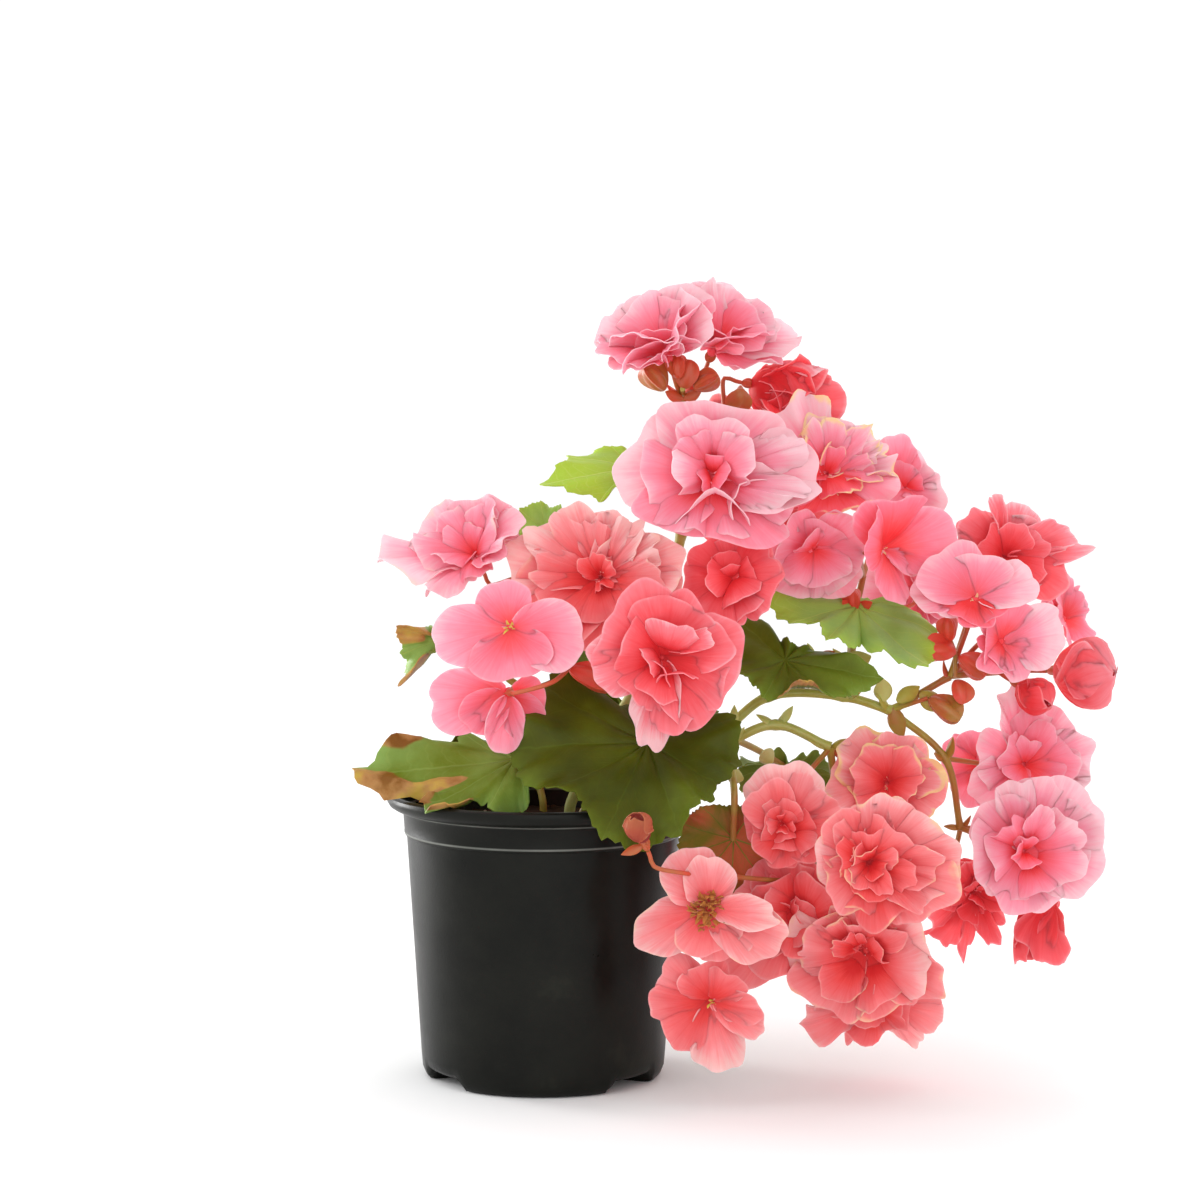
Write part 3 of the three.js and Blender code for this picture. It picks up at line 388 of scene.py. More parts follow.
BLOOMS = {
    "crown_left": dict(at=(62.5, -15, 358.5), facing=(-35, 62), look="pale", ruffle=0.8, glow=0.7, petals=[
        (-122, 36, 36, 26, 0.3), (-152, 30, 30, 18, 0.3), (-82, 38, 42, 36, 0), (-35, 35, 52, 48, -0.05),
        (24, 32, 50, 52, 0), (90, 32, 42, 50, 0.25), (148, 27, 40, 40, 0.3), (-175, 30, 42, 50, 0.15),
    ], inner=[
        (-55, 30, 36, 58, 0.1, -40, 0.05), (10, 29, 36, 60, 0.15, -40, 0.05),
        (75, 26, 30, 58, 0.25, -40, 0.05), (-10, 21, 24, 68, 0.3, -40, 0.1),
        (160, 19, 26, 60, 0.25, -30, 0.05),
    ]),
    "crown_right": dict(at=(84.5, 4, 361.5), facing=(40, 62), look="pale", ruffle=0.8, glow=0.7, petals=[
        (120, 34, 36, 12, 0.2), (100, 50, 36, 18, 0), (62, 38, 44, 38, 0), (20, 32, 48, 52, 0),
        (-40, 30, 40, 50, 0.1), (-120, 24, 34, 50, 0.25), (172, 29, 44, 38, 0.25), (80, 38, 36, 34, 0.1),
    ], inner=[
        (0, 34, 18, 62, -0.1, -30, 0.3), (60, 29, 32, 54, 0.3, -40, 0.05),
        (110, 28, 28, 46, 0.25, -40, 0.1), (-60, 26, 28, 60, 0.15, -40, 0.1),
        (150, 20, 26, 58, 0.4, -30, 0.05),
    ]),
    "crown_closed": dict(at=(105.5, 19, 344.2), facing=(104, -14), look="coral",
        cup=15.8, ruffle=0.6, petals=[
        (40, 38, 54, 0, 0.2), (0, 34, 54, 0.1, 0.8), (180, 43, 52, 0.1, 0.6), (-120, 46, 54, -0.1, 0.5),
        (-62, 38, 54, 0.15, 0.85), (-150, 34, 50, 0.2, 0.85),
    ], inner=[
        (30, 31, 32, 66, 0.7, -20, 0), (105, 30, 32, 66, 0.75, -20, 0), (180, 31, 32, 66, 0.7, -20, 0),
        (-105, 30, 32, 66, 0.75, -20, 0), (-35, 30, 32, 68, 0.7, -20, 0), (60, 22, 22, 78, 0.8, -20, 0),
        (-120, 22, 22, 78, 0.8, -20, 0),
    ]),
    "great": dict(at=(84, -30, 300), facing=(-5, 20), look="pale", ruffle=1.1, glow=0.8, petals=[
        (-64, 44, 60, 10, -0.05), (44, 31, 36, 12, 0.1), (126, 40, 44, 4, 0.3), (92, 52, 45, 9, 0),
        (188, 34, 74, 9, 0.42), (-112, 35, 50, 12, 0.25), (6, 37, 62, 22, 0.05),
    ], inner=[
        (102, 45, 22, 14, -0.1, -30, 0.25, 2, -3), (74, 46, 20, 15, -0.05, -30, 0.3, 2, 1),
        (-150, 30, 30, 16, 0.3, -40, 0.1, -4, -4), (2, 32, 34, 52, 0.05, -95, 0, -1, 7),
        (-80, 26, 28, 52, 0, -95, 0, -3, 0), (62, 28, 28, 50, 0.1, -90, 0, 4, 1),
        (-36, 26, 22, 56, 0.25, -80, 0, -2, 4), (20, 14, 20, 70, 0.5, -40, 0.1, 0, 1),
        (-110, 14, 20, 66, 0.5, -40, 0.1), (110, 15, 20, 64, 0.45, -50, 0.1),
        (184, 14, 36, 66, -0.3, 35, -0.15, 2, -6), (128, 13, 26, 62, -0.2, 35, -0.1, 9, -4),
    ]),
    "dry_edged": dict(at=(140.2, -6, 299.3), facing=(12, 30), look="pale", ruffle=1.5, dry=0.6, petals=[
        (-30, 43, 42, 16, -0.1), (-4, 30, 26, 22, 0.1), (22, 28, 30, 26, 0), (52, 33, 26, 18, 0),
        (76, 36, 18, 14, -0.1), (90, 36, 10, 12, -0.2), (104, 33, 32, 8, 0.15), (-86, 26, 34, 14, 0.5),
        (168, 22, 36, 8, 0.9),
    ], inner=[
        (-14, 27, 20, 32, 0.1, -44, 0.3), (16, 27, 18, 32, 0.1, -44, 0.3), (46, 28, 16, 28, 0.1, -51, 0.3),
        (72, 30, 12, 20, -0.05, -42, 0.3), (96, 26, 14, 22, 0.2, -42, 0.3),
        (150, 20, 24, 30, 0.9, -65, 0.2), (-64, 21, 20, 40, 0.5, -45, 0.1), (20, 15, 14, 54, 0.4, -41, 0.3),
    ]),
    "pale_back": dict(at=(182, 60, 291), facing=(16, 20), look="pale", heart=8, crowd=5, petals=[
        (56, 20, 30, 12, 0), (100, 23, 30, 8, 0), (150, 20, 28, 8, 0.2), (-130, 22, 32, 10, 0.3),
        (-80, 22, 34, 10, 0.3), (-6, 25, 28, 16, 0.3),
    ]),
    "side_single": dict(at=(167, -25, 265), facing=(35, 10), look="pale",
        centre="pistil", ruffle=0.4, petals=[
        (-6, 30, 44, 42, 0.62), (86, 39, 34, 22, 0.35), (176, 27, 18, 8, 0.35), (-70, 27, 34, 44, 0.6),
        (124, 22, 12, 14, 0.1),
    ]),
    "seen_behind": dict(at=(134, -14, 266), facing=(8, -18), look="pale", ruffle=0.8, glow=0.4, petals=[
        (176, 27, 50, 8, 0.2), (-112, 21, 34, 10, 0.25), (72, 24, 36, 10, 0.25), (-62, 20, 30, 14, 0.3),
        (24, 15, 30, 20, 0.3), (132, 24, 36, 12, 0.15),
    ], inner=[
        (-150, 20, 26, 28, 0.3, -40, 0.1), (150, 20, 24, 28, 0.25, -40, 0.1),
        (-40, 12, 18, 40, 0.4, -40, 0.1),
    ]),
    "middle_coral": dict(at=(93, -34, 250), facing=(-15, 25), look="coral", heart=9, crowd=5, petals=[
        (-88, 25, 34, 12, 0.5), (-42, 23, 32, 16, 0.5), (8, 21, 34, 18, 0.5), (58, 26, 34, 14, 0.5),
        (100, 26, 32, 12, 0.5), (150, 21, 36, 10, 0.45), (-150, 22, 36, 10, 0.45),
    ]),
    "left_double": dict(at=(31, -25, 250), facing=(-18, 18), look="salmon", ruffle=1.1, dry=0.15, petals=[
        (-64, 46, 52, 9, 0.1), (-24, 31, 36, 14, 0.15), (80, 43, 40, 9, 0.12), (18, 32, 34, 14, 0.08),
        (108, 40, 40, 6, 0.35), (160, 34, 50, 8, 0.45), (-118, 41, 56, 7, 0.45),
    ], inner=[
        (-66, 42, 20, 13, 0, -30, 0.3), (-42, 36, 18, 17, 0.2, -30, 0.3), (-12, 30, 16, 19, 0.25, -30, 0.3),
        (16, 31, 16, 17, 0, -30, 0.3), (42, 33, 18, 16, -0.1, -30, 0.3), (66, 37, 18, 15, 0, -30, 0.3),
        (92, 35, 22, 13, 0.25, -35, 0.25), (120, 30, 24, 16, 0.45, -40, 0.2),
        (-88, 34, 20, 16, 0.3, -30, 0.3), (-115, 34, 30, 15, 0.5, -40, 0.1),
        (165, 26, 28, 20, 0.5, -45, 0.1), (-150, 30, 26, 18, 0.5, -40, 0.1), (2, 14, 10, 52, 0.6, -40, 0.3),
        (60, 14, 10, 50, 0.5, -40, 0.3), (150, 13, 10, 50, 0.8, -40, 0.3), (-60, 14, 10, 50, 0.6, -40, 0.3),
    ]),
    "far_left": dict(at=(-31.7, 0, 258), facing=(-40, 55), look="pale",
        ruffle=1.2, dry=0.15, glow=0.4, petals=[
        (-109, 48, 32, 20, 0.02), (-150, 31, 26, 2, 0.08), (-75, 37, 34, 38, 0.1), (-30, 30, 40, 45, 0.15),
        (15, 29, 26, 50, 0.15), (60, 34, 32, 30, 0.1), (85, 26, 26, 20, 0.2), (150, 18, 18, 0, 0.5),
    ], inner=[
        (-104, 32, 26, 34, 0.12, -50, 0.1), (-50, 28, 28, 46, 0.2, -50, 0.1),
        (0, 25, 24, 54, 0.25, -45, 0.1), (50, 24, 22, 46, 0.25, -45, 0.1),
        (-134, 22, 20, 26, 0.2, -50, 0.1), (-20, 17, 18, 66, 0.35, -40, 0.2),
        (-80, 19, 20, 54, 0.25, -45, 0.1),
    ]),
    "four_upper": dict(at=(-14, -50, 229), facing=(-10, 10), look="pale",
        centre="green", ruffle=0.3, glow=0.3, petals=[
        (-14, 22.5, 28, 18, 0.35), (-105, 37, 31, 13, 0.25), (98, 39, 36, 13, 0.22),
        (172, 26, 42, 10, 0.42),
    ]),
    "four_lower": dict(at=(-15, -54, 198), facing=(195, -5), look="pale", ruffle=0.3, glow=0.4, petals=[
        (97, 39, 32, 13, 0.32), (172, 29, 20, 8, 0.3), (-148, 25, 22, 10, 0.5), (-108, 21, 24, 16, 0.55),
        (128, 26, 22, 10, 0.5),
    ]),
    "front_double": dict(at=(58.5, -68, 216), facing=(5, 12), look="coral", petals=[
        (-98, 36, 30, 6, 0.15), (-49, 34, 54, 14, 0.3), (191, 43, 24, 2, -0.2), (50, 33, 42, 14, 0.35),
        (157, 36, 36, 6, 0.3), (94, 38, 48, 10, 0.35), (129, 35, 42, 8, 0.35), (12, 28, 46, 20, 0.4),
        (-140, 26, 30, 8, 0.4),
    ], inner=[
        (-64, 24, 34, 34, 0.5, -40, 0), (-160, 22, 26, 30, 0.5, -50, 0.1, 0, -2),
        (22, 22, 28, 58, 0.1, -90, 0, 2, 3), (76, 24, 10, 38, 0.1, -40, 0.3, 5, 4),
        (-110, 16, 18, 56, 0.35, -60, 0.1, -1, 0), (-130, 12, 22, 82, 0.3, -20, 0, -1, -3),
        (170, 12, 20, 86, 0.3, -20, 0.1, 4, -7),
    ]),
    "pointed": dict(at=(231, 25, 257), facing=(22, 20), look="coral", petals=[
        (8, 21, 46, 14, 0.05), (-70, 29, 34, 14, 0.4), (-105, 31, 30, 8, 0.35), (46, 28, 34, 10, 0.1),
        (-42, 29, 30, 10, 0.35), (78, 45, 24, 6, 0.2), (108, 35, 34, 8, 0.5), (150, 24, 32, 8, 0.5),
        (-140, 24, 30, 8, 0.4),
    ], inner=[
        (-8, 33, 8, 20, 0.05, -20, 0.2), (-60, 20, 24, 32, 0.55, -50, 0.2), (20, 18, 22, 36, 0.4, -50, 0.2),
        (70, 24, 18, 26, 0.35, -45, 0.2), (120, 22, 24, 26, 0.55, -50, 0.1),
        (180, 15, 20, 36, 0.6, -50, 0.1), (88, 34, 4, 14, 0.1, -10, 0.1),
    ]),
    "right_single": dict(at=(212, -28, 240.5), facing=(0, 36), look="pale",
        centre="pistil", ruffle=0.5, glow=0.5, petals=[
        (-88, 30, 26, 8, 0.15), (72, 31, 26, 14, -0.1), (8, 22, 32, 34, 0.15), (150, 15, 30, 6, 0.85),
        (-150, 15, 30, 6, 0.85), (-44, 29, 38, 24, 0.2),
    ]),
    "right_cup": dict(at=(225.5, -22, 219.5), facing=(30, 5), look="pale", ruffle=0.3, glow=0.5, petals=[
        (-70, 15, 30, 30, 0.6), (176, 15, 34, 20, 0.5), (0, 20, 34, 24, 0.4), (-140, 13, 30, 20, 0.6),
        (132, 21, 26, 8, 0.2), (88, 34, 34, 8, -0.05),
    ]),
    "right_closed": dict(at=(259, 15, 201), facing=(58, 2), look="coral", cup=17.5, ruffle=0.3, petals=[
        (0, 32, 54, 1, 0.3), (180, 32, 54, 1, 0.5), (90, 31, 54, 1, 0.55), (-118, 32, 54, 1, 0.35),
        (-52, 32, 48, 1, 0.45),
    ]),
    "right_back": dict(at=(266, 55, 224), facing=(60, 25), look="pale", petals=[
        (0, 22, 30, 28, 0.4), (100, 22, 30, 18, 0.4), (-110, 22, 30, 18, 0.4), (-55, 21, 28, 24, 0.35),
        (50, 20, 26, 24, 0.4),
    ]),
    "right_upper": dict(at=(239, -2, 156), facing=(14, 12), look="pale", glow=0.6, petals=[
        (-12, 37, 17, 10, 0), (26, 29, 30, 16, 0.25), (60, 31, 36, 12, 0.15), (85, 36, 34, 8, 0.08),
        (112, 33, 32, 8, 0.2), (-84, 27, 30, 10, 0.15), (-120, 32, 28, 8, 0.15), (164, 20, 30, 8, 0.4),
    ], inner=[
        (80, 27, 24, 24, 0.3, -40, 0.15), (44, 23, 22, 28, 0.35, -40, 0.15),
        (112, 21, 20, 26, 0.4, -40, 0.2), (-60, 18, 20, 34, 0.3, -40, 0.2), (0, 16, 14, 46, 0.25, -40, 0.2),
        (-130, 16, 18, 34, 0.4, -40, 0.1),
    ]),
    "right_double": dict(at=(234.6, -42, 119), facing=(8, 5), look="pale", glow=0.6, petals=[
        (-84, 26, 46, 12, 0.12), (-34, 30, 36, 14, 0.15), (-5, 37, 22, 15, 0), (26, 36, 40, 13, 0.15),
        (57, 42, 50, 10, 0.05), (88, 39, 50, 8, 0.1), (122, 31, 44, 8, 0.12), (164, 27, 42, 6, 0.25),
        (-134, 24, 38, 8, 0.25),
    ], inner=[
        (-96, 20, 28, 26, 0.2, -55, 0.05, -2, 0), (162, 20, 24, 28, 0.35, -55, 0.1, 2, -4),
        (104, 27, 24, 32, 0.1, -60, 0, 4, -2), (62, 28, 24, 32, 0.05, -60, 0, 4, 2),
        (16, 24, 16, 38, 0.15, -50, 0.2, 2, 3), (-34, 19, 18, 42, 0.35, -50, 0.2, -2, 3),
        (0, 12, 12, 56, 0.5, -40, 0.2), (180, 12, 14, 60, 0.55, -40, 0.2), (-80, 12, 12, 60, 0.5, -40, 0.2),
    ]),
    "hanging": dict(at=(248, -8, 93), facing=(0, -80), look="coral", cup=12, ruffle=0.9, petals=[
        (0, 35, 30, 0.1, 0.6), (90, 36, 30, 0, 0.65), (180, 33, 30, 0.1, 0.7), (-90, 35, 30, 0, 0.65),
        (45, 32, 24, 0.2, 0.8), (-135, 34, 24, 0.2, 0.8),
    ]),
    "right_inner": dict(at=(222, 45, 149), facing=(10, 10), look="pale", petals=[
        (0, 19, 26, 18, 0.35), (72, 20, 26, 14, 0.35), (144, 20, 26, 12, 0.4), (-144, 20, 26, 12, 0.4),
        (-72, 21, 26, 14, 0.35),
    ]),
    "small_rosette": dict(at=(118, -52, 132), facing=(0, 10), look="salmon",
        heart=6.6, crowd=13, ruffle=0.7, dry=0.1, petals=[
        (-70, 20, 26, 14, 0.5), (70, 29, 28, 14, 0.35), (36, 28, 26, 14, 0.3), (0, 31, 40, 12, 0.05),
        (-112, 14, 24, 16, 0.6), (112, 24, 28, 14, 0.6), (160, 18, 28, 14, 0.6), (-152, 18, 26, 14, 0.65),
        (-36, 24, 26, 14, 0.4),
    ]),
    "brown_tip": dict(at=(170, -20, 148), facing=(5, 28), look="salmon", ruffle=1.3, dry=0.7, petals=[
        (-84, 30, 36, 12, 0.2), (-36, 30, 38, 18, 0.15), (16, 25, 38, 22, 0.2), (62, 26, 34, 18, 0.2),
        (102, 29, 32, 12, 0.25), (162, 20, 34, 12, 0.5), (-142, 20, 32, 12, 0.5),
    ], inner=[
        (-70, 21, 26, 30, 0.4, -55, 0.2), (-10, 21, 26, 36, 0.4, -47, 0.1), (54, 19, 24, 36, 0.4, -49, 0.2),
        (110, 18, 22, 30, 0.5, -55, 0.2),
    ]),
    "peony": dict(at=(157.3, -80, 119.7), facing=(-5, 5), look="salmon",
        ruffle=1.3, dry=0.35, glow=1.5, petals=[
        (-88, 24, 36, 14, 0), (-46, 27, 32, 16, 0.35), (-8, 28, 30, 18, 0.3), (20, 33, 36, 16, 0.15),
        (52, 38, 36, 14, 0.1), (88, 42, 42, 12, 0.2), (118, 42, 40, 12, 0.4), (146, 31, 38, 14, 0.65),
        (-170, 25, 34, 14, 0.65), (-132, 25, 28, 14, 0.3),
    ], inner=[
        (44, 26, 28, 32, 0.35, -75, 0, 0, 2), (8, 20, 22, 38, 0.45, -60, 0),
        (92, 37, 20, 22, 0.35, -30, 0.25), (128, 34, 16, 24, 0.45, -30, 0.3),
        (108, 27, 18, 34, 0.55, -20, 0.35), (72, 19, 12, 46, 0.4, -30, 0.3),
        (152, 22, 12, 46, 0.5, -30, 0.35), (172, 20, 24, 32, 0.95, -50, 0.1),
        (-64, 13, 18, 56, 0.45, -40, 0.1), (-104, 14, 18, 54, 0.5, -40, 0.1),
        (-140, 16, 20, 46, 0.5, -40, 0.2), (-20, 12, 14, 62, 0.6, -40, 0.1),
        (-80, 18, 20, 34, 0.75, -50, 0.1), (128, 13, 14, 56, 1, -30, 0.3),
    ]),
    "low_double": dict(at=(158, -60, 73), facing=(-18, -12), look="salmon", ruffle=1.2, dry=0.3, petals=[
        (-84, 42, 40, 10, 0), (-34, 28, 38, 18, 0.3), (14, 25, 40, 22, 0.25), (66, 34, 44, 14, 0.1),
        (102, 40, 36, 8, 0.4), (146, 32, 44, 8, 0.5), (-138, 38, 40, 8, 0.4),
    ], inner=[
        (-80, 30, 26, 24, 0.3, -63, 0.2, -4, 2), (-40, 24, 20, 32, 0.5, -47, 0.25, -4, 4),
        (4, 22, 22, 34, 0.4, -47, 0.25, -1, 4), (40, 24, 22, 32, 0.45, -51, 0.25, 3, 4),
        (94, 31, 36, 26, 0.1, -70, 0, 6, -2), (150, 23, 30, 28, 0.5, -65, 0.1, 3, -4),
        (-140, 24, 24, 26, 0.55, -65, 0.2, -3, -3), (-60, 17, 12, 48, 0.6, -41, 0.3, -3, 3),
        (-10, 16, 10, 52, 0.6, -41, 0.3, -1, 4), (60, 14, 18, 50, 0.7, -41, 0.2, 2, 1),
    ]),
    "lowest": dict(at=(165, -15, 44), facing=(10, -30), look="salmon", heart=11, petals=[
        (-108, 40, 26, 10, 0.3), (-140, 25, 16, 10, 0.55), (-76, 32, 30, 12, 0.5), (176, 19, 26, 12, 0.75),
        (138, 35, 15, 10, 0.1), (104, 36, 28, 10, 0.25), (72, 34, 30, 12, 0.3), (0, 22, 32, 12, 0.6),
        (-158, 28, 11, 12, 0.35), (150, 22, 22, 12, 0.65),
    ]),
    "dried_heart": dict(at=(81, -88, 99), facing=(-10, 0), look="salmon",
        centre="dried", ruffle=0.8, dry=0.25, glow=0.5, petals=[
        (-113, 37, 28, 8, 0.2), (-30, 31, 30, 14, 0.2), (2, 27, 26, 20, 0.1), (112, 39, 32, 12, 0.2),
        (176, 21, 34, 10, 0.4), (146, 26, 32, 8, 0.35), (90, 36, 17, 22, 0.05),
    ]),
    "low_four": dict(at=(82, -78, 52.5), facing=(0, 0), look="salmon",
        centre="green", ruffle=0.9, glow=0.5, petals=[
        (-60, 30, 26, 12, 0.4), (174, 34, 26, 6, 0.05), (-96, 29, 24, 10, 0.5), (-134, 27, 28, 12, 0.55),
        (120, 29, 16, 8, 0.25), (-22, 20, 26, 16, 0.55), (100, 24, 16, 10, 0.4), (30, 17, 22, 16, 0.5),
    ]),
    "low_inner": dict(at=(125, -46, 90), facing=(-14, 4), look="salmon", heart=12, crowd=8, petals=[
        (-64, 30, 34, 12, 0.4), (-18, 28, 34, 12, 0.4), (28, 28, 34, 12, 0.4), (72, 28, 34, 12, 0.45),
        (118, 28, 34, 12, 0.45), (164, 28, 34, 12, 0.4), (-110, 32, 34, 12, 0.4), (-152, 34, 34, 12, 0.45),
        (-134, 49, 34, 6, 0.45),
    ]),
    "low_pointed": dict(at=(215, 8, 93), facing=(30, -20), look="coral", heart=9, petals=[
        (80, 24, 18, 12, 0.55), (175, 38, 15, 8, 0.45), (-148, 34, 18, 8, 0.5), (-15, 27, 26, 16, 0.55),
        (130, 28, 16, 8, 0.55), (-70, 26, 28, 14, 0.6), (32, 24, 24, 16, 0.55), (-112, 30, 24, 10, 0.6),
        (152, 32, 14, 8, 0.5),
    ]),
    "bud_front": dict(at=(49.5, -103, 133.5), facing=(-40, 60), look="bud", cup=6.6, ruffle=0.2, petals=[
        (180, 14.8, 26, 0.8, 0.4), (0, 14.8, 26, 0.8, 0.5),
    ]),
    "bud_right": dict(at=(237, -8, 196), facing=(50, -25), look="coral", cup=9.5, ruffle=0.2, petals=[
        (0, 21, 28, 1, 0.7), (120, 21, 28, 1, 0.8), (-120, 21, 28, 1, 0.9), (60, 19, 22, 1, 0.9),
        (-60, 19, 22, 1, 0.9),
    ]),
    "back_upper": dict(at=(92, 56, 312), facing=(195, 30), look="salmon", heart=11, petals=[
        (-80, 26, 30, 12, 0.35), (-20, 25, 30, 18, 0.3), (35, 25, 30, 18, 0.3), (85, 26, 30, 12, 0.35),
        (140, 25, 30, 10, 0.4), (-140, 25, 30, 10, 0.4),
    ]),
    "back_left": dict(at=(22, 62, 246), facing=(205, 20), look="pale", heart=12, petals=[
        (-84, 31, 34, 12, 0.2), (-38, 29, 34, 16, 0.15), (8, 29, 34, 18, 0.2), (52, 31, 34, 14, 0.15),
        (96, 33, 34, 10, 0.2), (144, 30, 36, 8, 0.25), (-132, 30, 36, 8, 0.25),
    ]),
    "back_middle": dict(at=(112, 78, 276), facing=(180, 25), look="coral", heart=14, petals=[
        (-84, 35, 36, 12, 0.5), (-40, 32, 36, 16, 0.5), (2, 31, 36, 18, 0.45), (44, 33, 36, 16, 0.5),
        (88, 35, 36, 12, 0.5), (136, 31, 36, 10, 0.55), (-136, 31, 36, 10, 0.55),
    ]),
    "back_right": dict(at=(196, 92, 234), facing=(165, 15), look="pale", heart=12, petals=[
        (-92, 33, 34, 12, 0.15), (-48, 31, 34, 14, 0.2), (-6, 31, 34, 16, 0.15), (40, 32, 34, 14, 0.2),
        (84, 32, 34, 12, 0.15), (132, 19, 34, 10, 0.25), (-146, 19, 34, 10, 0.25),
    ]),
    "back_low": dict(at=(158, 62, 98), facing=(185, -5), look="salmon", heart=14, petals=[
        (-84, 35, 36, 12, 0.35), (-40, 32, 36, 16, 0.35), (2, 31, 36, 18, 0.3), (44, 33, 36, 16, 0.35),
        (88, 35, 36, 12, 0.35), (140, 32, 36, 10, 0.4), (-138, 32, 36, 10, 0.4),
    ]),
}

# A leaf has the place where its stalk joins and the way it faces, the root or the point on a stem
# that it grows from, the points its stalk goes by, the lightness of its green, how much its edge
# waves, and its outline from that place: (clockwise angle, reach). Dry parts are (clockwise angle,
# half width in degrees, the share of the reach where it starts).
LEAVES = {
    "front": dict(
        at=(52, -53, 173), facing=(0, 45), root=(20, -18), by=[(34, -28, 150), (46, -42, 164)],
        green=0.15, wave=6,
        outline=[
            (0, 8), (59, 29), (77, 45), (103, 46), (125, 40), (141, 46), (155, 50), (168, 56), (178, 56),
            (190, 62), (201, 58), (212, 54), (226, 49), (239, 57), (255, 64), (269, 66), (290, 58),
            (316, 63), (340, 30),
        ]),
    "rim_left": dict(
        at=(-13, -30, 162), facing=(-10, 50), root=(-12, -10), by=[(-12, -15, 150)],
        green=0.46, wave=8,
        dry=[(255, 8, 0.74), (243, 8, 0.5), (274, 6, 0.84), (212, 9, 0.92), (229, 6, 0.9)],
        outline=[
            (0, 13.5), (60, 18), (100, 20), (145, 21), (165, 28), (179, 34), (189, 36), (197, 30),
            (204, 34), (211, 50), (219, 56), (226, 53), (232, 48), (240, 48), (246, 52), (249, 67),
            (255, 75), (260, 79), (265, 71), (271, 63), (277, 55), (281, 46), (287, 31), (312, 12.5),
        ]),
    "curled_left": dict(
        at=(-50.8, 6, 217.7), facing=(-20, 10), on=("left", "bend"), by=[(-14, 8, 196), (-36, 8, 211)],
        green=0.48, wave=3, dry=[(283, 26, 0.35), (214, 10, 0.6)],
        outline=[
            (0, 4), (90, 3), (180, 4), (205, 8), (215, 29.6), (228, 26), (244, 21.5), (265, 19.5),
            (284, 21), (300, 11),
        ]),
    "upper_left": dict(
        at=(47, 10, 303), facing=(-10, 58), on=("upright", "shoulder"), by=[(62, 11, 296)],
        green=0.8, wave=3,
        outline=[
            (60, 8), (100, 16), (170, 18), (205, 22), (225, 27), (240, 38), (251, 47), (262, 42), (276, 35),
            (290, 36), (330, 18),
        ]),
    "behind_left": dict(
        at=(2, 34, 270), facing=(-10, 30), on=("left", "nape"), by=[(0, 6, 232), (-4, 20, 250)],
        green=0.72, wave=3,
        outline=[
            (0, 16), (60, 12), (120, 12), (180, 7), (220, 21), (240, 26), (260, 21), (300, 18), (330, 18),
        ]),
    "dark_middle": dict(
        at=(120, -20, 210), facing=(5, 48), on=("right", "bow"), by=[(116, -8, 200)],
        green=0.26, wave=3, dry=[(300, 16, 0.9), (170, 30, 0.93)],
        outline=[
            (0, 14), (20, 10), (60, 17), (85, 30), (105, 46), (128, 38), (150, 25), (180, 23), (210, 26),
            (240, 24), (262, 28), (285, 33), (305, 37), (325, 34), (343, 30),
        ]),
    "light_middle": dict(
        at=(157, -2, 235.5), facing=(10, 50), on=("right", "spur"), by=[(155, -6, 220)],
        green=0.64, wave=3,
        outline=[
            (0, 6), (60, 10), (88, 19), (102, 33), (113, 41), (126, 44), (134, 47), (144, 50), (151, 52.5),
            (158, 51), (164, 46), (169, 34), (177, 32), (184, 22), (190, 27), (196, 31), (209, 28),
            (222, 31), (240, 27), (250, 29), (256, 36), (266, 42), (276, 46), (292, 37), (300, 26),
            (318, 10),
        ]),
    "underside": dict(
        at=(94, -42, 125), facing=(175, 10), on=("low", "over"), by=[(93, -34, 160), (94, -52, 148)],
        green=0.3, wave=3, blush=0.8,
        outline=[
            (0, 16), (60, 24), (110, 28), (160, 26), (200, 26), (250, 24), (300, 22),
        ]),
    "back_left": dict(
        at=(-20, 44, 157), facing=(205, 66), root=(0, 28), by=[(-4, 34, 144)],
        green=0.25, wave=4,
        outline=[
            (0, 8), (50, 32), (90, 48), (140, 52), (180, 60), (220, 46), (270, 44), (320, 28),
        ]),
    "back_right": dict(
        at=(52, 56, 172), facing=(165, 50), root=(24, 28), by=[(38, 42, 152)],
        green=0.3, wave=4,
        outline=[
            (0, 8), (50, 26), (90, 40), (140, 44), (180, 60), (220, 46), (270, 40), (320, 26),
        ]),
    "back_high": dict(
        at=(46, 46, 222), facing=(190, 35), on=("upright", "knee"), by=[(49, 24, 206)],
        green=0.5, wave=4,
        outline=[
            (0, 8), (50, 28), (90, 40), (140, 40), (180, 50), (220, 42), (270, 42), (320, 26),
        ]),
    "back_over": dict(
        at=(126, 50, 148), facing=(170, 50), on=("right", "rise"), by=[(94, 16, 168), (110, 38, 158)],
        green=0.4, wave=4,
        outline=[
            (0, 6), (50, 16), (90, 26), (140, 34), (180, 44), (220, 38), (270, 26), (320, 14),
        ]),
}

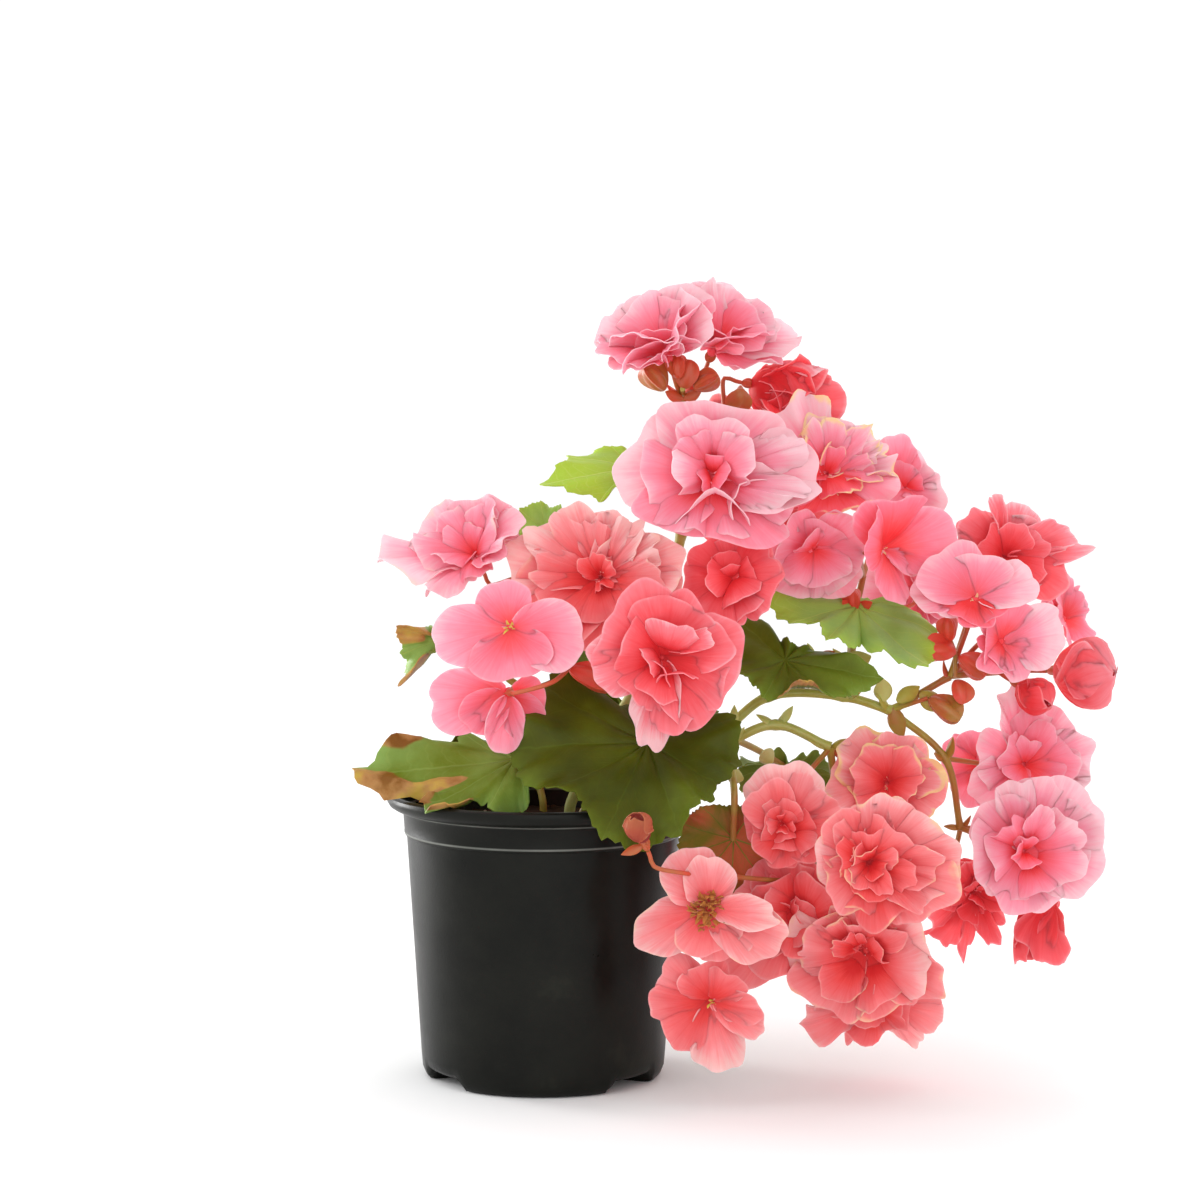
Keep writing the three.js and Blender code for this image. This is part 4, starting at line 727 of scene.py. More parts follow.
# A stem has its root, named points, and runs of a radius through some of them. Then come its bloom
# stalks, as start, bloom and points on the way, its stipules, as point and ripeness, and its pods
# and bracts: place, direction, radius of a pod or length of a bract, length of a pod or width of a
# bract, and ripeness.
STEMS = {
    "upright": dict(root=(14, 10), points=dict(
        low=(30, 12, 165), knee=(50, 10, 200), middle=(62, 10, 238), fork=(70, 12, 272),
        shoulder=(73, 12, 290), high=(74, 12, 305), neck=(72, 8, 325), crown=(70.5, 4, 338),
        brood=(69.5, -11.5, 343), front=(62, -16, 222), side=(104, 22, 278),
    ), runs=[
        (2.8, "root collar base low knee middle fork shoulder high"), (1.9, "high neck crown"),
        (1.4, "crown brood"), (1.9, "knee front"), (1.9, "fork side"),
    ], pedicels=[
        ("crown", "crown_left"), ("crown", "crown_right"), ("high", "crown_closed", (90, 12, 324)),
        ("high", "great"), ("high", "back_upper"), ("side", "dry_edged"), ("side", "back_middle"),
        ("front", "front_double"), ("front", "middle_coral"), ("side", "seen_behind", (112, 4, 268)),
    ], stipules=[
        ("knee", 0.1), ("shoulder", 0.25), ("fork", 0.2), ("crown", 0.95),
    ], pods=[
        ((61, -13, 342.5), (-0.55, -0.1, 0.6), 8.2, 16, 0.72),
        ((67.5, -14, 348), (0, -0.2, 1), 6.2, 12, 0.9), ((70, -10, 343), (0.25, -0.1, 1), 7, 15, 0.86),
        ((75, -12, 343), (0.8, -0.1, 0.45), 6.6, 14, 0.74),
        ((93.5, 13, 331), (0.5, -0.5, 0.9), 7.4, 15, 0.74),
    ], bracts=[
        ((70, -6, 338), (-1, -0.3, 0.35), 11, 6, 0.8), ((70, -6, 338), (1, -0.3, 0.4), 11, 6, 0.75),
    ]),
    "left": dict(root=(-12, 8), points=dict(
        low=(-8, 8, 160), bend=(0, 8, 185), fork=(12, 0, 210), nape=(13, 8, 225), top=(14, 20, 240),
    ), runs=[
        (1.9, "root collar base low bend fork nape top"),
    ], pedicels=[
        ("top", "left_double"), ("top", "far_left", (-8, 22, 248)), ("top", "back_left"),
        ("fork", "four_upper"), ("fork", "four_lower", (16, -34, 212), (6, -66, 204)),
    ], stipules=[
        ("bend", 0.1), ("fork", 0.2), ("top", 0.5),
    ], pods=[
        ((14, -45, 208.6), (1, -0.1, -0.42), 8.5, 24, 0.93),
    ]),
    "right": dict(root=(30, 6), points=dict(
        low=(56, 4, 156), rise=(90, 0, 173), bow=(113, 0, 190), arch=(150, 0, 190), out=(174, 0, 183),
        cluster=(203, 0, 200), drop=(201, 0, 159), last=(209, 0, 124), spur=(154, 10, 206),
        climb=(156, 22, 222), above=(162, 30, 248), joint=(204.5, -11, 212), tip=(201.8, -13, 219.5),
        hung=(204.5, -14, 201), fall=(191.5, -11, 190.5),
    ), runs=[
        (2.5, "root collar base low rise bow arch out"), (1.9, "out cluster"), (1.9, "out drop last"),
        (1.9, "arch spur climb above"), (1.2, "cluster joint tip"), (1, "joint hung"), (1.2, "out fall"),
    ], pedicels=[
        ("above", "side_single"), ("above", "pale_back"), ("climb", "back_right"), ("cluster", "pointed"),
        ("cluster", "right_single"), ("cluster", "right_cup"), ("cluster", "right_closed"),
        ("cluster", "right_back"), ("cluster", "bud_right", (220, -4, 203)), ("drop", "right_upper"),
        ("drop", "right_inner", (200, 30, 158), (208, 56, 150)), ("last", "right_double"),
        ("last", "hanging", (232, 0, 122)), ("last", "low_pointed"),
    ], stipules=[
        ("low", 0.05), ("rise", 0.05), ("bow", 0.1), ("arch", 0.2), ("out", 0.3), ("spur", 0.1),
        ("cluster", 0.8), ("drop", 0.5), ("last", 0.6),
    ], pods=[
        ((201.8, -14, 219), (-0.1, -0.2, 1), 6.2, 12.5, 0.9),
        ((204.5, -14, 214), (-1, -0.2, 0), 8.6, 16, 0.92),
        ((206, -14, 211.5), (0.8, -0.2, -0.6), 8, 16.5, 0.95),
        ((204.5, -14, 200), (0.3, -0.3, -1), 6.8, 13, 0.92),
        ((191.5, -12, 190.5), (1, -0.3, -0.7), 8, 19, 0.62),
        ((155.7, 0, 232.2), (-0.1, -0.3, 1), 5.6, 12, 1),
    ], bracts=[
        ((174.9, -2, 184.7), (0.25, -0.2, -1), 17, 9, 0.6), ((176.4, -4, 188), (1, -0.3, 0.7), 15, 8, 0.2),
        ((170.1, -4, 188), (-0.1, -0.2, 1), 13, 9.5, 0), ((188, -8, 193), (0.7, -0.3, -0.6), 16, 10, 0.25),
        ((150, -6, 206), (1, -0.2, 0.35), 15, 11, 0), ((137.5, -10, 211), (1, 0, 0.3), 8, 4, 0.6),
        ((134, -8, 209), (-0.3, 0, 1), 9, 5, 0), ((95.5, -8, 176), (0, 0, 1), 11, 4.5, 0),
        ((155.7, 0, 233), (1, -0.4, 0.5), 11, 6, 0.95), ((155.7, 0, 233), (-1, -0.4, 0.7), 10, 6, 0.9),
    ]),
    "low": dict(root=(34, -12), points=dict(
        low=(60, -14, 150), over=(92, -12, 168), brow=(116, -10, 177), turn=(143, -12, 166),
        down=(146, -6, 136), under=(139, 4, 106), end=(140, 6, 75),
    ), runs=[
        (2.5, "root collar base low over brow turn"), (1.9, "turn down under end"),
    ], pedicels=[
        ("turn", "brown_tip"), ("turn", "small_rosette", (128, -24, 150)), ("down", "peony"),
        ("under", "back_low"), ("under", "low_double"), ("under", "dried_heart", (108, -26, 96)),
        ("under", "bud_front", (126, -38, 104), (94, -66, 110), (68, -94, 116.5)),
        ("end", "low_four", (124, 8, 58), (104, -20, 48)), ("end", "low_inner"), ("end", "lowest"),
    ], stipules=[
        ("low", 0.1), ("over", 0.05), ("brow", 0.2), ("turn", 0.35), ("down", 0.4), ("under", 0.5),
    ], bracts=[
        ((118.2, -10, 177), (0.6, -0.1, 0.9), 12, 4.5, 0), ((115, 4, 156), (-0.4, -0.5, 0.6), 14, 9, 0.1),
        ((100, -12, 150), (-0.6, -0.5, 0.3), 15, 8, 0.2),
        ((49, -102, 130.5), (-1, -0.1, -0.4), 11, 4.6, 0.75),
    ]),
}

# ---------- the stems ----------
# Four main stems root in the compost and carry the blooms on ever thinner stalks. They are
# succulent and olive green, flushed red towards the blooms, with swollen joints.

ROOT_HEIGHTS = dict(root=114, collar=124.5, base=133.5)
STEM_TAPER = 0.9
PEDICEL_RADIUS = 0.00143
PEDICEL_TAPER = 8 / 11
BEHIND_BLOOM = (0.01535, 0.00935, 0.00635)
PATH_STEP = 0.003
JOINT_SWELL = 0.3
JOINT_LENGTH = 0.003
RIDGE_WIDTH = 0.085
STIPULE_WIDTH = 0.45
SMOOTH_UNDER = math.radians(60)


def facing_frame(azimuth, elevation):
    """The right, up and outward directions of something that faces that way, in degrees."""
    turn, rise = math.radians(azimuth), math.radians(elevation)
    out = Vector((math.sin(turn) * math.cos(rise), -math.cos(turn) * math.cos(rise), math.sin(rise)))
    right = Vector((0, 0, 1)).cross(out).normalized()
    return np.array(right), np.array(out.cross(right)), np.array(out)


def unit(direction):
    """A direction with a length of one."""
    direction = np.array(direction, float)
    return direction / np.linalg.norm(direction)


def laid(at, axes, *lengths):
    """The points that lie the given lengths along three axes from a place."""
    points = np.array(at)
    for length, axis in zip(lengths, axes):
        points = points + np.outer(length, axis)
    return points


def smooth_path(points):
    """Points a few millimetres apart on a centripetal curve through the given ones."""
    def between(a, b, low, high, t):
        return a + (b - a) * (t - low) / (high - low)

    given = [np.array(point, float) for point in points]
    given = [2 * given[0] - given[1], *given, 2 * given[-1] - given[-2]]
    path = []
    for p0, p1, p2, p3 in zip(given, given[1:], given[2:], given[3:]):
        k0, k1 = 0.0, max(np.linalg.norm(p1 - p0), 1e-5) ** 0.5
        k2 = k1 + max(np.linalg.norm(p2 - p1), 1e-5) ** 0.5
        k3 = k2 + max(np.linalg.norm(p3 - p2), 1e-5) ** 0.5
        steps = max(2, round(np.linalg.norm(p2 - p1) / PATH_STEP))
        for t in np.linspace(k1, k2, steps, endpoint=False):
            a1, a2 = between(p0, p1, k0, k1, t), between(p1, p2, k1, k2, t)
            a3 = between(p2, p3, k2, k3, t)
            b1, b2 = between(a1, a2, k0, k2, t), between(a2, a3, k1, k3, t)
            path.append(between(b1, b2, k1, k2, t))
    path.append(given[-2])
    return np.array(path)


def stalk(points, radius, taper, ripeness, joints=()):
    """A round stalk through the points, which tapers, ripens and swells at its joints."""
    path = smooth_path(points)
    curve = bpy.data.curves.new("stalk", "CURVE")
    curve.dimensions = "3D"
    curve.bevel_depth = 1
    curve.bevel_resolution = 3
    curve.use_fill_caps = True
    spline = curve.splines.new("POLY")
    spline.points.add(len(path) - 1)
    shares = np.linspace(0, 1, len(path))
    for point, place, share in zip(spline.points, path, shares):
        swell = sum(math.exp(-(np.linalg.norm(place - joint) / JOINT_LENGTH) ** 2) for joint in joints)
        point.co = (*place, 1)
        point.radius = radius * (1 + (taper - 1) * share) * (1 + JOINT_SWELL * min(swell, 1))
    piece = bpy.data.objects.new("stalk", curve)
    scene.collection.objects.link(piece)
    chosen(piece)
    bpy.ops.object.convert(target="MESH")
    piece = bpy.context.object
    count = len(piece.data.vertices)
    rings = np.minimum(np.arange(count) // (count // len(path)), len(path) - 1)
    toned(piece, ripeness[0] + (ripeness[1] - ripeness[0]) * shares[rings])
    return piece


def sheet(name, columns, rows):
    """A flat sheet that pieces are shaped from: across it x runs, and along it y."""
    bpy.ops.mesh.primitive_grid_add(x_subdivisions=columns, y_subdivisions=rows, size=2)
    bpy.context.object.name = name
    return bpy.context.object


def thickened(piece, thickness):
    """Gives a piece, which is the active one, a thickness, half of it to either side."""
    bpy.ops.object.modifier_add(type="SOLIDIFY")
    piece.modifiers[0].thickness = thickness
    piece.modifiers[0].offset = 0
    bpy.ops.object.modifier_apply(modifier="Solidify")


def coated(piece, material):
    """Gives a piece one material in place of any that it has."""
    piece.data.materials.clear()
    piece.data.materials.append(material)


# A small pointed flap, such as the stipules at a joint.
flap_blank = sheet("flap", 6, 8)
thickened(flap_blank, 0.06)


def flap(at, towards, facing, length, width, tone, curl=0.5):
    """A small bract or stipule that grows from a place in a direction."""
    along = unit(towards)
    face = unit(facing - along * along.dot(facing))
    x, y, z = corners(flap_blank).T
    share = (y + 1) / 2
    half = width / 2 * np.sin(np.pi * np.clip(share, 0.02, 0.985) ** 0.75) ** 0.8
    lift = curl * length * share ** 2 * 0.6 - 0.35 * half * x ** 2 + z * 0.006
    axes = (np.cross(along, face), along, face)
    piece = copied(flap_blank, laid(at, axes, x * half, share * length, lift))
    toned(piece, tone)
    return piece


# The winged seed pod behind a female bloom: a ball drawn out into three thin wings.
bpy.ops.mesh.primitive_uv_sphere_add(segments=36, ring_count=12, radius=1)
pod_blank = bpy.context.object
pod_blank.name = "pod"


def pod(at, towards, radius, length, tone, wings=0.9):
    """A winged pod that grows from a place in a direction, to its length."""
    along = unit(towards)
    beside = unit(np.cross(along, (0.3, 0.2, 0.93)))
    x, y, z = corners(pod_blank).T
    thirds = np.mod(np.arctan2(y, x) * 3 / math.tau + 0.25, 1)
    ridge = np.exp(-((thirds - 0.5) / RIDGE_WIDTH) ** 2)
    swell = 0.55 + wings * ridge * (0.55 + 0.35 * z)
    axes = (beside, np.cross(along, beside), along)
    points = laid(at, axes, x * swell * radius, y * swell * radius, (z + 1) / 2 * length)
    piece = copied(pod_blank, points)
    toned(piece, tone, ridge)
    return piece


def behind(bloom, distance):
    """A point behind a bloom's throat."""
    out = facing_frame(*BLOOMS[bloom]["facing"])[2]
    return np.array(BLOOMS[bloom]["at"]) / MM - out * distance


stem_skin = finish("stem_skin", Roughness=0.42, Subsurface_Weight=0.12, Subsurface_Scale=0.002)
place = add("TexCoord")["Object"]
mottle = cloudy(place, 160, 5)
depth = reckon("ADD", tones()["Red"], swing(mottle, 0.35))
depth = reckon("ADD", depth, swing(cloudy(place, 38, 3), 0.7), clamp=True)
connect(Base_Color=ramp(
    depth,
    (0.0, 0.72, 0.75, 0.44), (0.25, 0.66, 0.64, 0.26), (0.5, 0.62, 0.48, 0.19),
    (0.72, 0.70, 0.35, 0.19), (1.0, 0.82, 0.27, 0.20),
))
raised(mottle, 0.3, 0.0004)

seeds = random.Random(11)
for name, stem in STEMS.items():
    points = {key: np.array((*stem["root"], height)) / MM for key, height in ROOT_HEIGHTS.items()}
    points |= {key: np.array(at) / MM for key, at in stem["points"].items()}
    joints = [points[key] for key, _ in stem["stipules"]]
    parts = []
    for radius, through in stem["runs"]:
        keys = through.split()
        ripeness = (0.05, 0.26) if keys[0] == "root" else (0.3, 0.6)
        parts.append(stalk([points[key] for key in keys], radius / MM, STEM_TAPER, ripeness, joints))
    for start, bloom, *by in stem["pedicels"]:
        way = [points[start], *(np.array(at) / MM for at in by)]
        way += [behind(bloom, distance) for distance in BEHIND_BLOOM]
        parts.append(stalk(way, PEDICEL_RADIUS, PEDICEL_TAPER, (0.55, 0.85)))
    for key, tone in stem["stipules"]:
        for side in (-1, 1):
            towards = (side * seeds.uniform(0.3, 1), seeds.uniform(-0.6, 0.2), seeds.uniform(0.1, 0.9))
            length = seeds.uniform(0.008, 0.013)
            facing = (-towards[0], -0.6, 0.5)
            curl = seeds.uniform(-0.4, 0.7)
            width = length * STIPULE_WIDTH
            parts.append(flap(points[key], towards, facing, length, width, tone, curl))
    for at, towards, radius, length, tone in stem.get("pods", []):
        parts.append(pod(np.array(at) / MM, towards, radius / MM, length / MM, tone))
    for at, towards, length, width, tone in stem.get("bracts", []):
        at = np.array(at) / MM
        parts.append(flap(at, towards, (0, -1, 0.2), length / MM, width / MM, tone))
    piece = joined(f"{name}_stem", parts)
    bpy.ops.object.shade_smooth_by_angle(angle=SMOOTH_UNDER)
    coated(piece, stem_skin)
    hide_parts(f"stem_{name}")
    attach(piece, "root")


# ---------- the leaves ----------
# Glossy toothed leaves, each a thin blade round the place where its stalk joins it. Veins run
# from there to every lobe, and the blade swells up between them. The oldest are drying.

LEAF_THICKNESS = 0.0006
LEAF_SWELL = 0.13
LEAF_BUMPS = 0.0022
PETIOLE_RADIUS = 0.002
PETIOLE_TAPER = 0.8
UNDER_BLADE = 0.0012
VEINS = (0, 34, 68, 104, 142, 218, 256, 292, 326)
TEETH = 5
CURL = 0.006

leaf_blank = sheet("leaf", 168, 16)


def reach_at(outline, turns):
    """How far an outline reaches at turns in degrees, eased from one of its points to the next."""
    rows = sorted((angle % 360, reach / MM) for angle, reach in outline)
    rows = [(rows[-1][0] - 360, rows[-1][1]), *rows, (rows[0][0] + 360, rows[0][1])]
    angles, reaches = np.array(rows).T
    index = np.clip(np.searchsorted(angles, turns, side="right") - 1, 0, len(rows) - 2)
    share = (turns - angles[index]) / (angles[index + 1] - angles[index])
    ease = (1 - np.cos(np.pi * share)) / 2
    return reaches[index] + (reaches[index + 1] - reaches[index]) * ease


def blade(leaf, axes, seed):
    """A toothed blade round the place where its stalk joins, with its veins in its UV map."""
    x, y, _ = corners(leaf_blank).T
    turns, share = (x + 1) * 180, (y + 1) / 2
    reach = reach_at(leaf["outline"], turns % 360)
    longest = max(leaf["outline"], key=lambda row: row[1])[0]
    veins = np.array(sorted((longest + vein) % 360 for vein in VEINS))
    ends = np.concatenate([[veins[-1] - 360], veins, [veins[0] + 360]])
    phase = np.interp(turns, ends, np.arange(len(ends)))
    across = 2 * np.abs(phase - np.round(phase))
    teeth = np.mod(phase * TEETH, 1)
    fine = np.mod(phase * TEETH * 3 + 0.3, 1)
    edge = 0.055 * (1 - across) ** 2 - 0.02 + 0.055 * (0.5 - teeth) + 0.03 * (0.5 - fine)
    out = share * reach * (1 + edge * share ** 6)
    angle = np.radians(turns)
    swell = np.sin(np.pi * np.clip(across, 0, 1) / 2) * (share * (1 - share)) ** 0.7
    ripple = leaf["wave"] / MM * share ** 4 * (
        np.sin(angle * 5 + seed) + 0.6 * np.sin(angle * 9 + 2 * seed) + 0.3 * np.sin(angle * 17 + seed)
    )
    bumps = [
        noise.noise(Vector((o * math.sin(a) * 60, o * math.cos(a) * 60, seed * 3.1)))
        for o, a in zip(out, angle)
    ]
    brown = np.zeros(len(x))
    for middle, half, start in leaf.get("dry", []):
        off = np.abs((turns - middle + 180) % 360 - 180)
        near = np.clip(1.4 * (1 - (off / half) ** 2), 0, 1)
        brown = np.maximum(brown, near * np.clip((share - start) / 0.12 + 0.4, 0, 1))
    rise = LEAF_SWELL * reach.mean() * swell + ripple + CURL * brown * share ** 2
    rise += np.array(bumps) * LEAF_BUMPS * np.sqrt(share) * (1 + 2.5 * brown)
    points = laid(np.array(leaf["at"]) / MM, axes, out * np.sin(angle), out * np.cos(angle), rise)
    piece = copied(leaf_blank, points)
    uv = piece.data.uv_layers[0].data
    flat = np.empty(len(uv) * 2, np.float32)
    uv.foreach_get("uv", flat)
    flat[::2] = np.interp(flat[::2] * 360, ends, np.arange(len(ends)))
    uv.foreach_set("uv", flat)
    toned(piece, leaf["green"], brown, leaf.get("blush", 0))
    chosen(piece)
    bpy.ops.object.mode_set(mode="EDIT")
    bpy.ops.mesh.select_all(action="SELECT")
    bpy.ops.mesh.remove_doubles(threshold=1e-5)
    bpy.ops.object.mode_set(mode="OBJECT")
    thickened(piece, LEAF_THICKNESS)
    return piece


leaf_skin = finish(
    "leaf_skin", Roughness=0.42, Specular_IOR_Level=0.13, Subsurface_Weight=0.08, Subsurface_Scale=0.001,
)
place = add("TexCoord")["Object"]
split = add("SeparateXYZ", Vector=add("TexCoord")["UV"])
phase, share = split["X"], split["Y"]
tone = tones()
phase = reckon("ADD", phase, swing(cloudy(place, 90, 2), 0.16))
from_vein = reckon("SUBTRACT", reckon("FRACT", reckon("ADD", phase, 0.5)), 0.5)
from_vein = reckon("ABSOLUTE", from_vein)
spaced = reckon("MULTIPLY", from_vein, reckon("ADD", share, 0.02))
slanted = reckon("SUBTRACT", reckon("MULTIPLY", share, 7.0), reckon("MULTIPLY", from_vein, 4.2))
side = reckon("ABSOLUTE", reckon("SUBTRACT", reckon("FRACT", slanted), 0.5))
net = add("TexVoronoi", {"feature": "DISTANCE_TO_EDGE"}, Vector=place, Scale=360)["Distance"]
main_vein = mapped(spaced, 0.0, 0.022, 1.0, 0.0)
side_vein = mapped(side, 0.0, 0.1, 0.35, 0.0)
net_vein = mapped(net, 0.0, 0.12, 0.1, 0.0, "LINEAR")
veins = reckon("MAXIMUM", main_vein, reckon("MAXIMUM", side_vein, net_vein))
clouds = cloudy(place, 30, 4)
shade = reckon("ADD", tone["Red"], swing(clouds, 0.5))
outer = reckon("MULTIPLY", reckon("POWER", share, 6.0), 0.12)
shade = reckon("ADD", shade, outer, clamp=True)
leaf_green = ramp(
    shade,
    (0.0, 0.13, 0.15, 0.01), (0.2, 0.28, 0.30, 0.02), (0.4, 0.40, 0.47, 0.12),
    (0.6, 0.53, 0.65, 0.33), (0.85, 0.64, 0.76, 0.24),
)
vein_green = ramp(
    shade,
    (0.0, 0.15, 0.18, 0.02), (0.25, 0.33, 0.37, 0.07), (0.5, 0.52, 0.61, 0.28), (0.85, 0.74, 0.82, 0.42),
)
blush = reckon("MULTIPLY", tone["Blue"], reckon("SUBTRACT", 1.0, veins))
flushed = ramp(clouds, (0.42, 0.48, 0.42, 0.14), (0.58, 0.80, 0.34, 0.26))
rot = cloudy(place, 60, 6)
dead = mapped(reckon("ADD", tone["Green"], swing(rot, 0.6)), 0.35, 0.6, 0.0, 1.0)
dried = ramp(rot, (0.36, 0.50, 0.32, 0.12), (0.5, 0.68, 0.50, 0.30), (0.64, 0.74, 0.62, 0.28))
leaf_colour = blended(veins, leaf_green, vein_green)
leaf_colour = blended(blush, leaf_colour, flushed)
connect(Base_Color=blended(dead, leaf_colour, dried))
raised(reckon("SUBTRACT", reckon("MULTIPLY", net, 0.6), veins), 0.3, 0.0003)

for index, (name, leaf) in enumerate(LEAVES.items()):
    axes = facing_frame(*leaf["facing"])
    piece = blade(leaf, axes, index + 1)
    coated(piece, leaf_skin)
    if "root" in leaf:
        way = [(*leaf["root"], height) for height in ROOT_HEIGHTS.values()]
    else:
        stem, point = leaf["on"]
        way = [STEMS[stem]["points"][point]]
    way = [np.array(at) / MM for at in way + leaf["by"] + [leaf["at"]]]
    way[-1] -= axes[2] * UNDER_BLADE
    holder = stalk(way, PETIOLE_RADIUS, PETIOLE_TAPER, (0.3, 0.5))
    coated(holder, stem_skin)
    piece = joined(f"{name}_leaf", [piece, holder])
    bpy.ops.object.shade_smooth_by_angle(angle=SMOOTH_UNDER)
    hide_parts(f"leaf_{name}")
    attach(piece, "root")


# ---------- the blooms ----------
# Soft thin petals round a deep coral throat, paler towards their edges. Double blooms have a
# heart of small loose petals. Some blooms are closed cups, and the oldest have dry tan edges.

PETAL_THICKNESS = 0.0004
PETAL_TURN = math.radians(168)
PETAL_WIDEST = 0.6
THROAT_RADIUS = 0.0012
BEAD_RADIUS = 0.0026
CUP_WIDEST = 0.62
CUP_HEART = 0.7
OUTER_STEP = 0.0004
INNER_FROM = 0.0025
INNER_STEP = 0.0002
# The rings of a heart that isn't listed petal by petal, from the outermost: how many petals in a
# crowd of nine, their length to the heart's size, their lift and their bend.
HEART_RINGS = [(4, 2.0, 28, -50), (3, 1.5, 42, -60), (2, 1.0, 56, -40)]
HEART_CROWD = 9
# The seed pod that every bloom sits on: radius, length and ripeness.
SEAT = (0.0036, 0.0066, 0.8)
# How many flaps the centre of a single bloom has, their size, their spread and their colour.
CENTRES = {
    "green": (7, 0.0016, 0.0020, 0.4),
    "pistil": (6, 0.0013, 0.0018, 0.2),
    "dried": (84, 0.0030, 0.0125, 1.0),
}

outer_blank = sheet("petal", 48, 12)
inner_blank = sheet("petal", 24, 8)


def petal_outline(blank, seeds, ruffle):
    """Where each vertex of a petal lies, across from -1 to 1 and along from 0 to 1."""
    x, y, _ = corners(blank).T
    turn, share = x * PETAL_TURN, (y + 1) / 2
    first, second = seeds.uniform(0, math.tau), seeds.uniform(0, math.tau)
    edge = 1 + ruffle * (0.055 * np.sin(turn * 2.6 + first) + 0.022 * np.sin(turn * 6.3 + second))
    edge -= seeds.uniform(0.0, 0.09) * np.exp(-(turn / 0.22) ** 2)
    reach = PETAL_WIDEST + np.where(np.cos(turn) > 0, 1 - PETAL_WIDEST, PETAL_WIDEST) * np.cos(turn)
    edge *= 1 + seeds.uniform(-0.08, 0.08) * np.sin(turn)
    return turn, share, share ** 1.1 * np.sin(turn) * edge, share * reach * edge


def relief(turn, share, across, along, seeds, ruffle):
    """How far each vertex of a petal stands out, to its length: pleats, waves and dents."""
    phases = [seeds.uniform(0, math.tau) for _ in range(8)]
    height = share ** 1.5 * (
        0.017 * np.sin(turn * 6 + phases[0]) + 0.012 * np.sin(turn * 11 + phases[1])
        + 0.006 * np.sin(turn * 19 + phases[2])
    )
    height += ruffle * 0.022 * share ** 5 * np.sin(turn * 8.5 + phases[6])
    height += ruffle * 0.075 * share ** 3 * (
        np.sin(turn * 2.3 + phases[2]) + 0.55 * np.sin(turn * 5.1 + phases[3])
    )
    height += seeds.uniform(-0.06, 0.05) * share ** 6 * (1 + 0.7 * np.sin(turn * 1.7 + phases[4]))
    height -= 0.02 * np.exp(-(across / 0.1) ** 2) * share * (1 - share * 0.6)
    height += 0.045 * share * (
        np.sin(along * 4 + phases[5]) * np.cos(across * 2.6 + phases[6])
        + 0.5 * np.sin(across * 5 + along * 3 + phases[7])
    )
    return height


def in_metres(row):
    """A petal's row with its lengths in metres. They are its second, third, eighth and ninth values."""
    return [value / MM if place in (1, 2, 7, 8) else value for place, value in enumerate(row)]


def petal(blank, at, axes, row, seeds, reach, forward, ruffle, dry, glow):
    """One open petal: a fan from its seat, bent along its length, arched across and ruffled."""
    angle, length, width, lift, depth, *more = row
    more = more or [seeds.uniform(-44, -12)]
    bend, crease, beside, above = (*more, 0, 0, 0)[:4]
    small = blank is inner_blank
    turn, share, side, along = petal_outline(blank, seeds, ruffle)
    across = side * width / 2
    bend = math.radians(bend if abs(bend) > 1 else 1)
    start = math.radians(lift) - bend / 2
    slope = start + bend * along
    arch = seeds.uniform(-0.34, -0.12) if small else seeds.uniform(-0.14, 0.03)
    height = width * arch * side ** 2 + crease * width / 2 * np.abs(side)
    height += seeds.uniform(-0.11, 0.11) * across
    height += length * relief(turn, share, side, along, seeds, ruffle)
    out = length * (np.sin(slope) - math.sin(start)) / bend - height * np.sin(slope) + THROAT_RADIUS
    rise = length * (math.cos(start) - np.cos(slope)) / bend + height * np.cos(slope) + forward
    way = math.radians(angle)
    rightward = out * math.sin(way) + across * math.cos(way) + beside
    upward = out * math.cos(way) - across * math.sin(way) + above
    piece = copied(blank, laid(at, axes, rightward, upward, rise))
    glow *= (0.14 if small else 0.36) * np.exp(-(np.hypot(out, across) / (0.46 * reach)) ** 2)
    base = (0.4 if small else 0.0) * (1 - np.clip(along, 0, 1)) ** 1.6
    toned(piece, np.clip(depth + glow + base, 0, 1), dry, 0.0)
    return piece


def cupped(at, axes, row, seeds, radius, ruffle, dry, glow):
    """One petal of a closed bloom: it lies round a cup of a radius, which closes by its share."""
    angle, length, width, closing, depth = row
    turn, share, side, along = petal_outline(outer_blank, seeds, ruffle)
    swell = np.sqrt(np.clip(1 - (1 - along / CUP_WIDEST) ** 2, 0, 1))
    past = np.clip((along - CUP_WIDEST) / (1 - CUP_WIDEST), 0, 1.2)
    out = radius * np.where(along < CUP_WIDEST, swell, 1 - closing * past ** 2)
    out += length * relief(turn, share, side, along, seeds, ruffle) * 0.8
    out += radius * seeds.uniform(-0.06, 0.06)
    way = math.radians(angle) + side * width / 2 / radius * np.clip(along * 2.2, 0.3, 1)
    points = laid(at, axes, out * np.sin(way), out * np.cos(way), length * along)
    piece = copied(outer_blank, points)
    toned(piece, depth + 0.25 * glow * (1 - share), dry, 0.0)
    return piece


def heart_rows(heart, depth, seeds, crowd):
    """The petals of a loose heart, ring by ring from the outermost."""
    rows = []
    for count, size, lift, bend in HEART_RINGS:
        count = round(count * crowd / HEART_CROWD)
        first = seeds.uniform(0, 360)
        for place in range(count):
            length = heart * size * seeds.uniform(0.85, 1.15)
            rows.append((
                first + place * 360 / count + seeds.uniform(-30, 30), length,
                length * seeds.uniform(0.95, 1.5), lift + seeds.uniform(-9, 9),
                depth + seeds.uniform(0, 0.25), bend + seeds.uniform(-25, 25), seeds.uniform(-0.15, 0.15),
                heart * seeds.uniform(-0.35, 0.35), heart * seeds.uniform(-0.35, 0.35),
            ))
    return rows


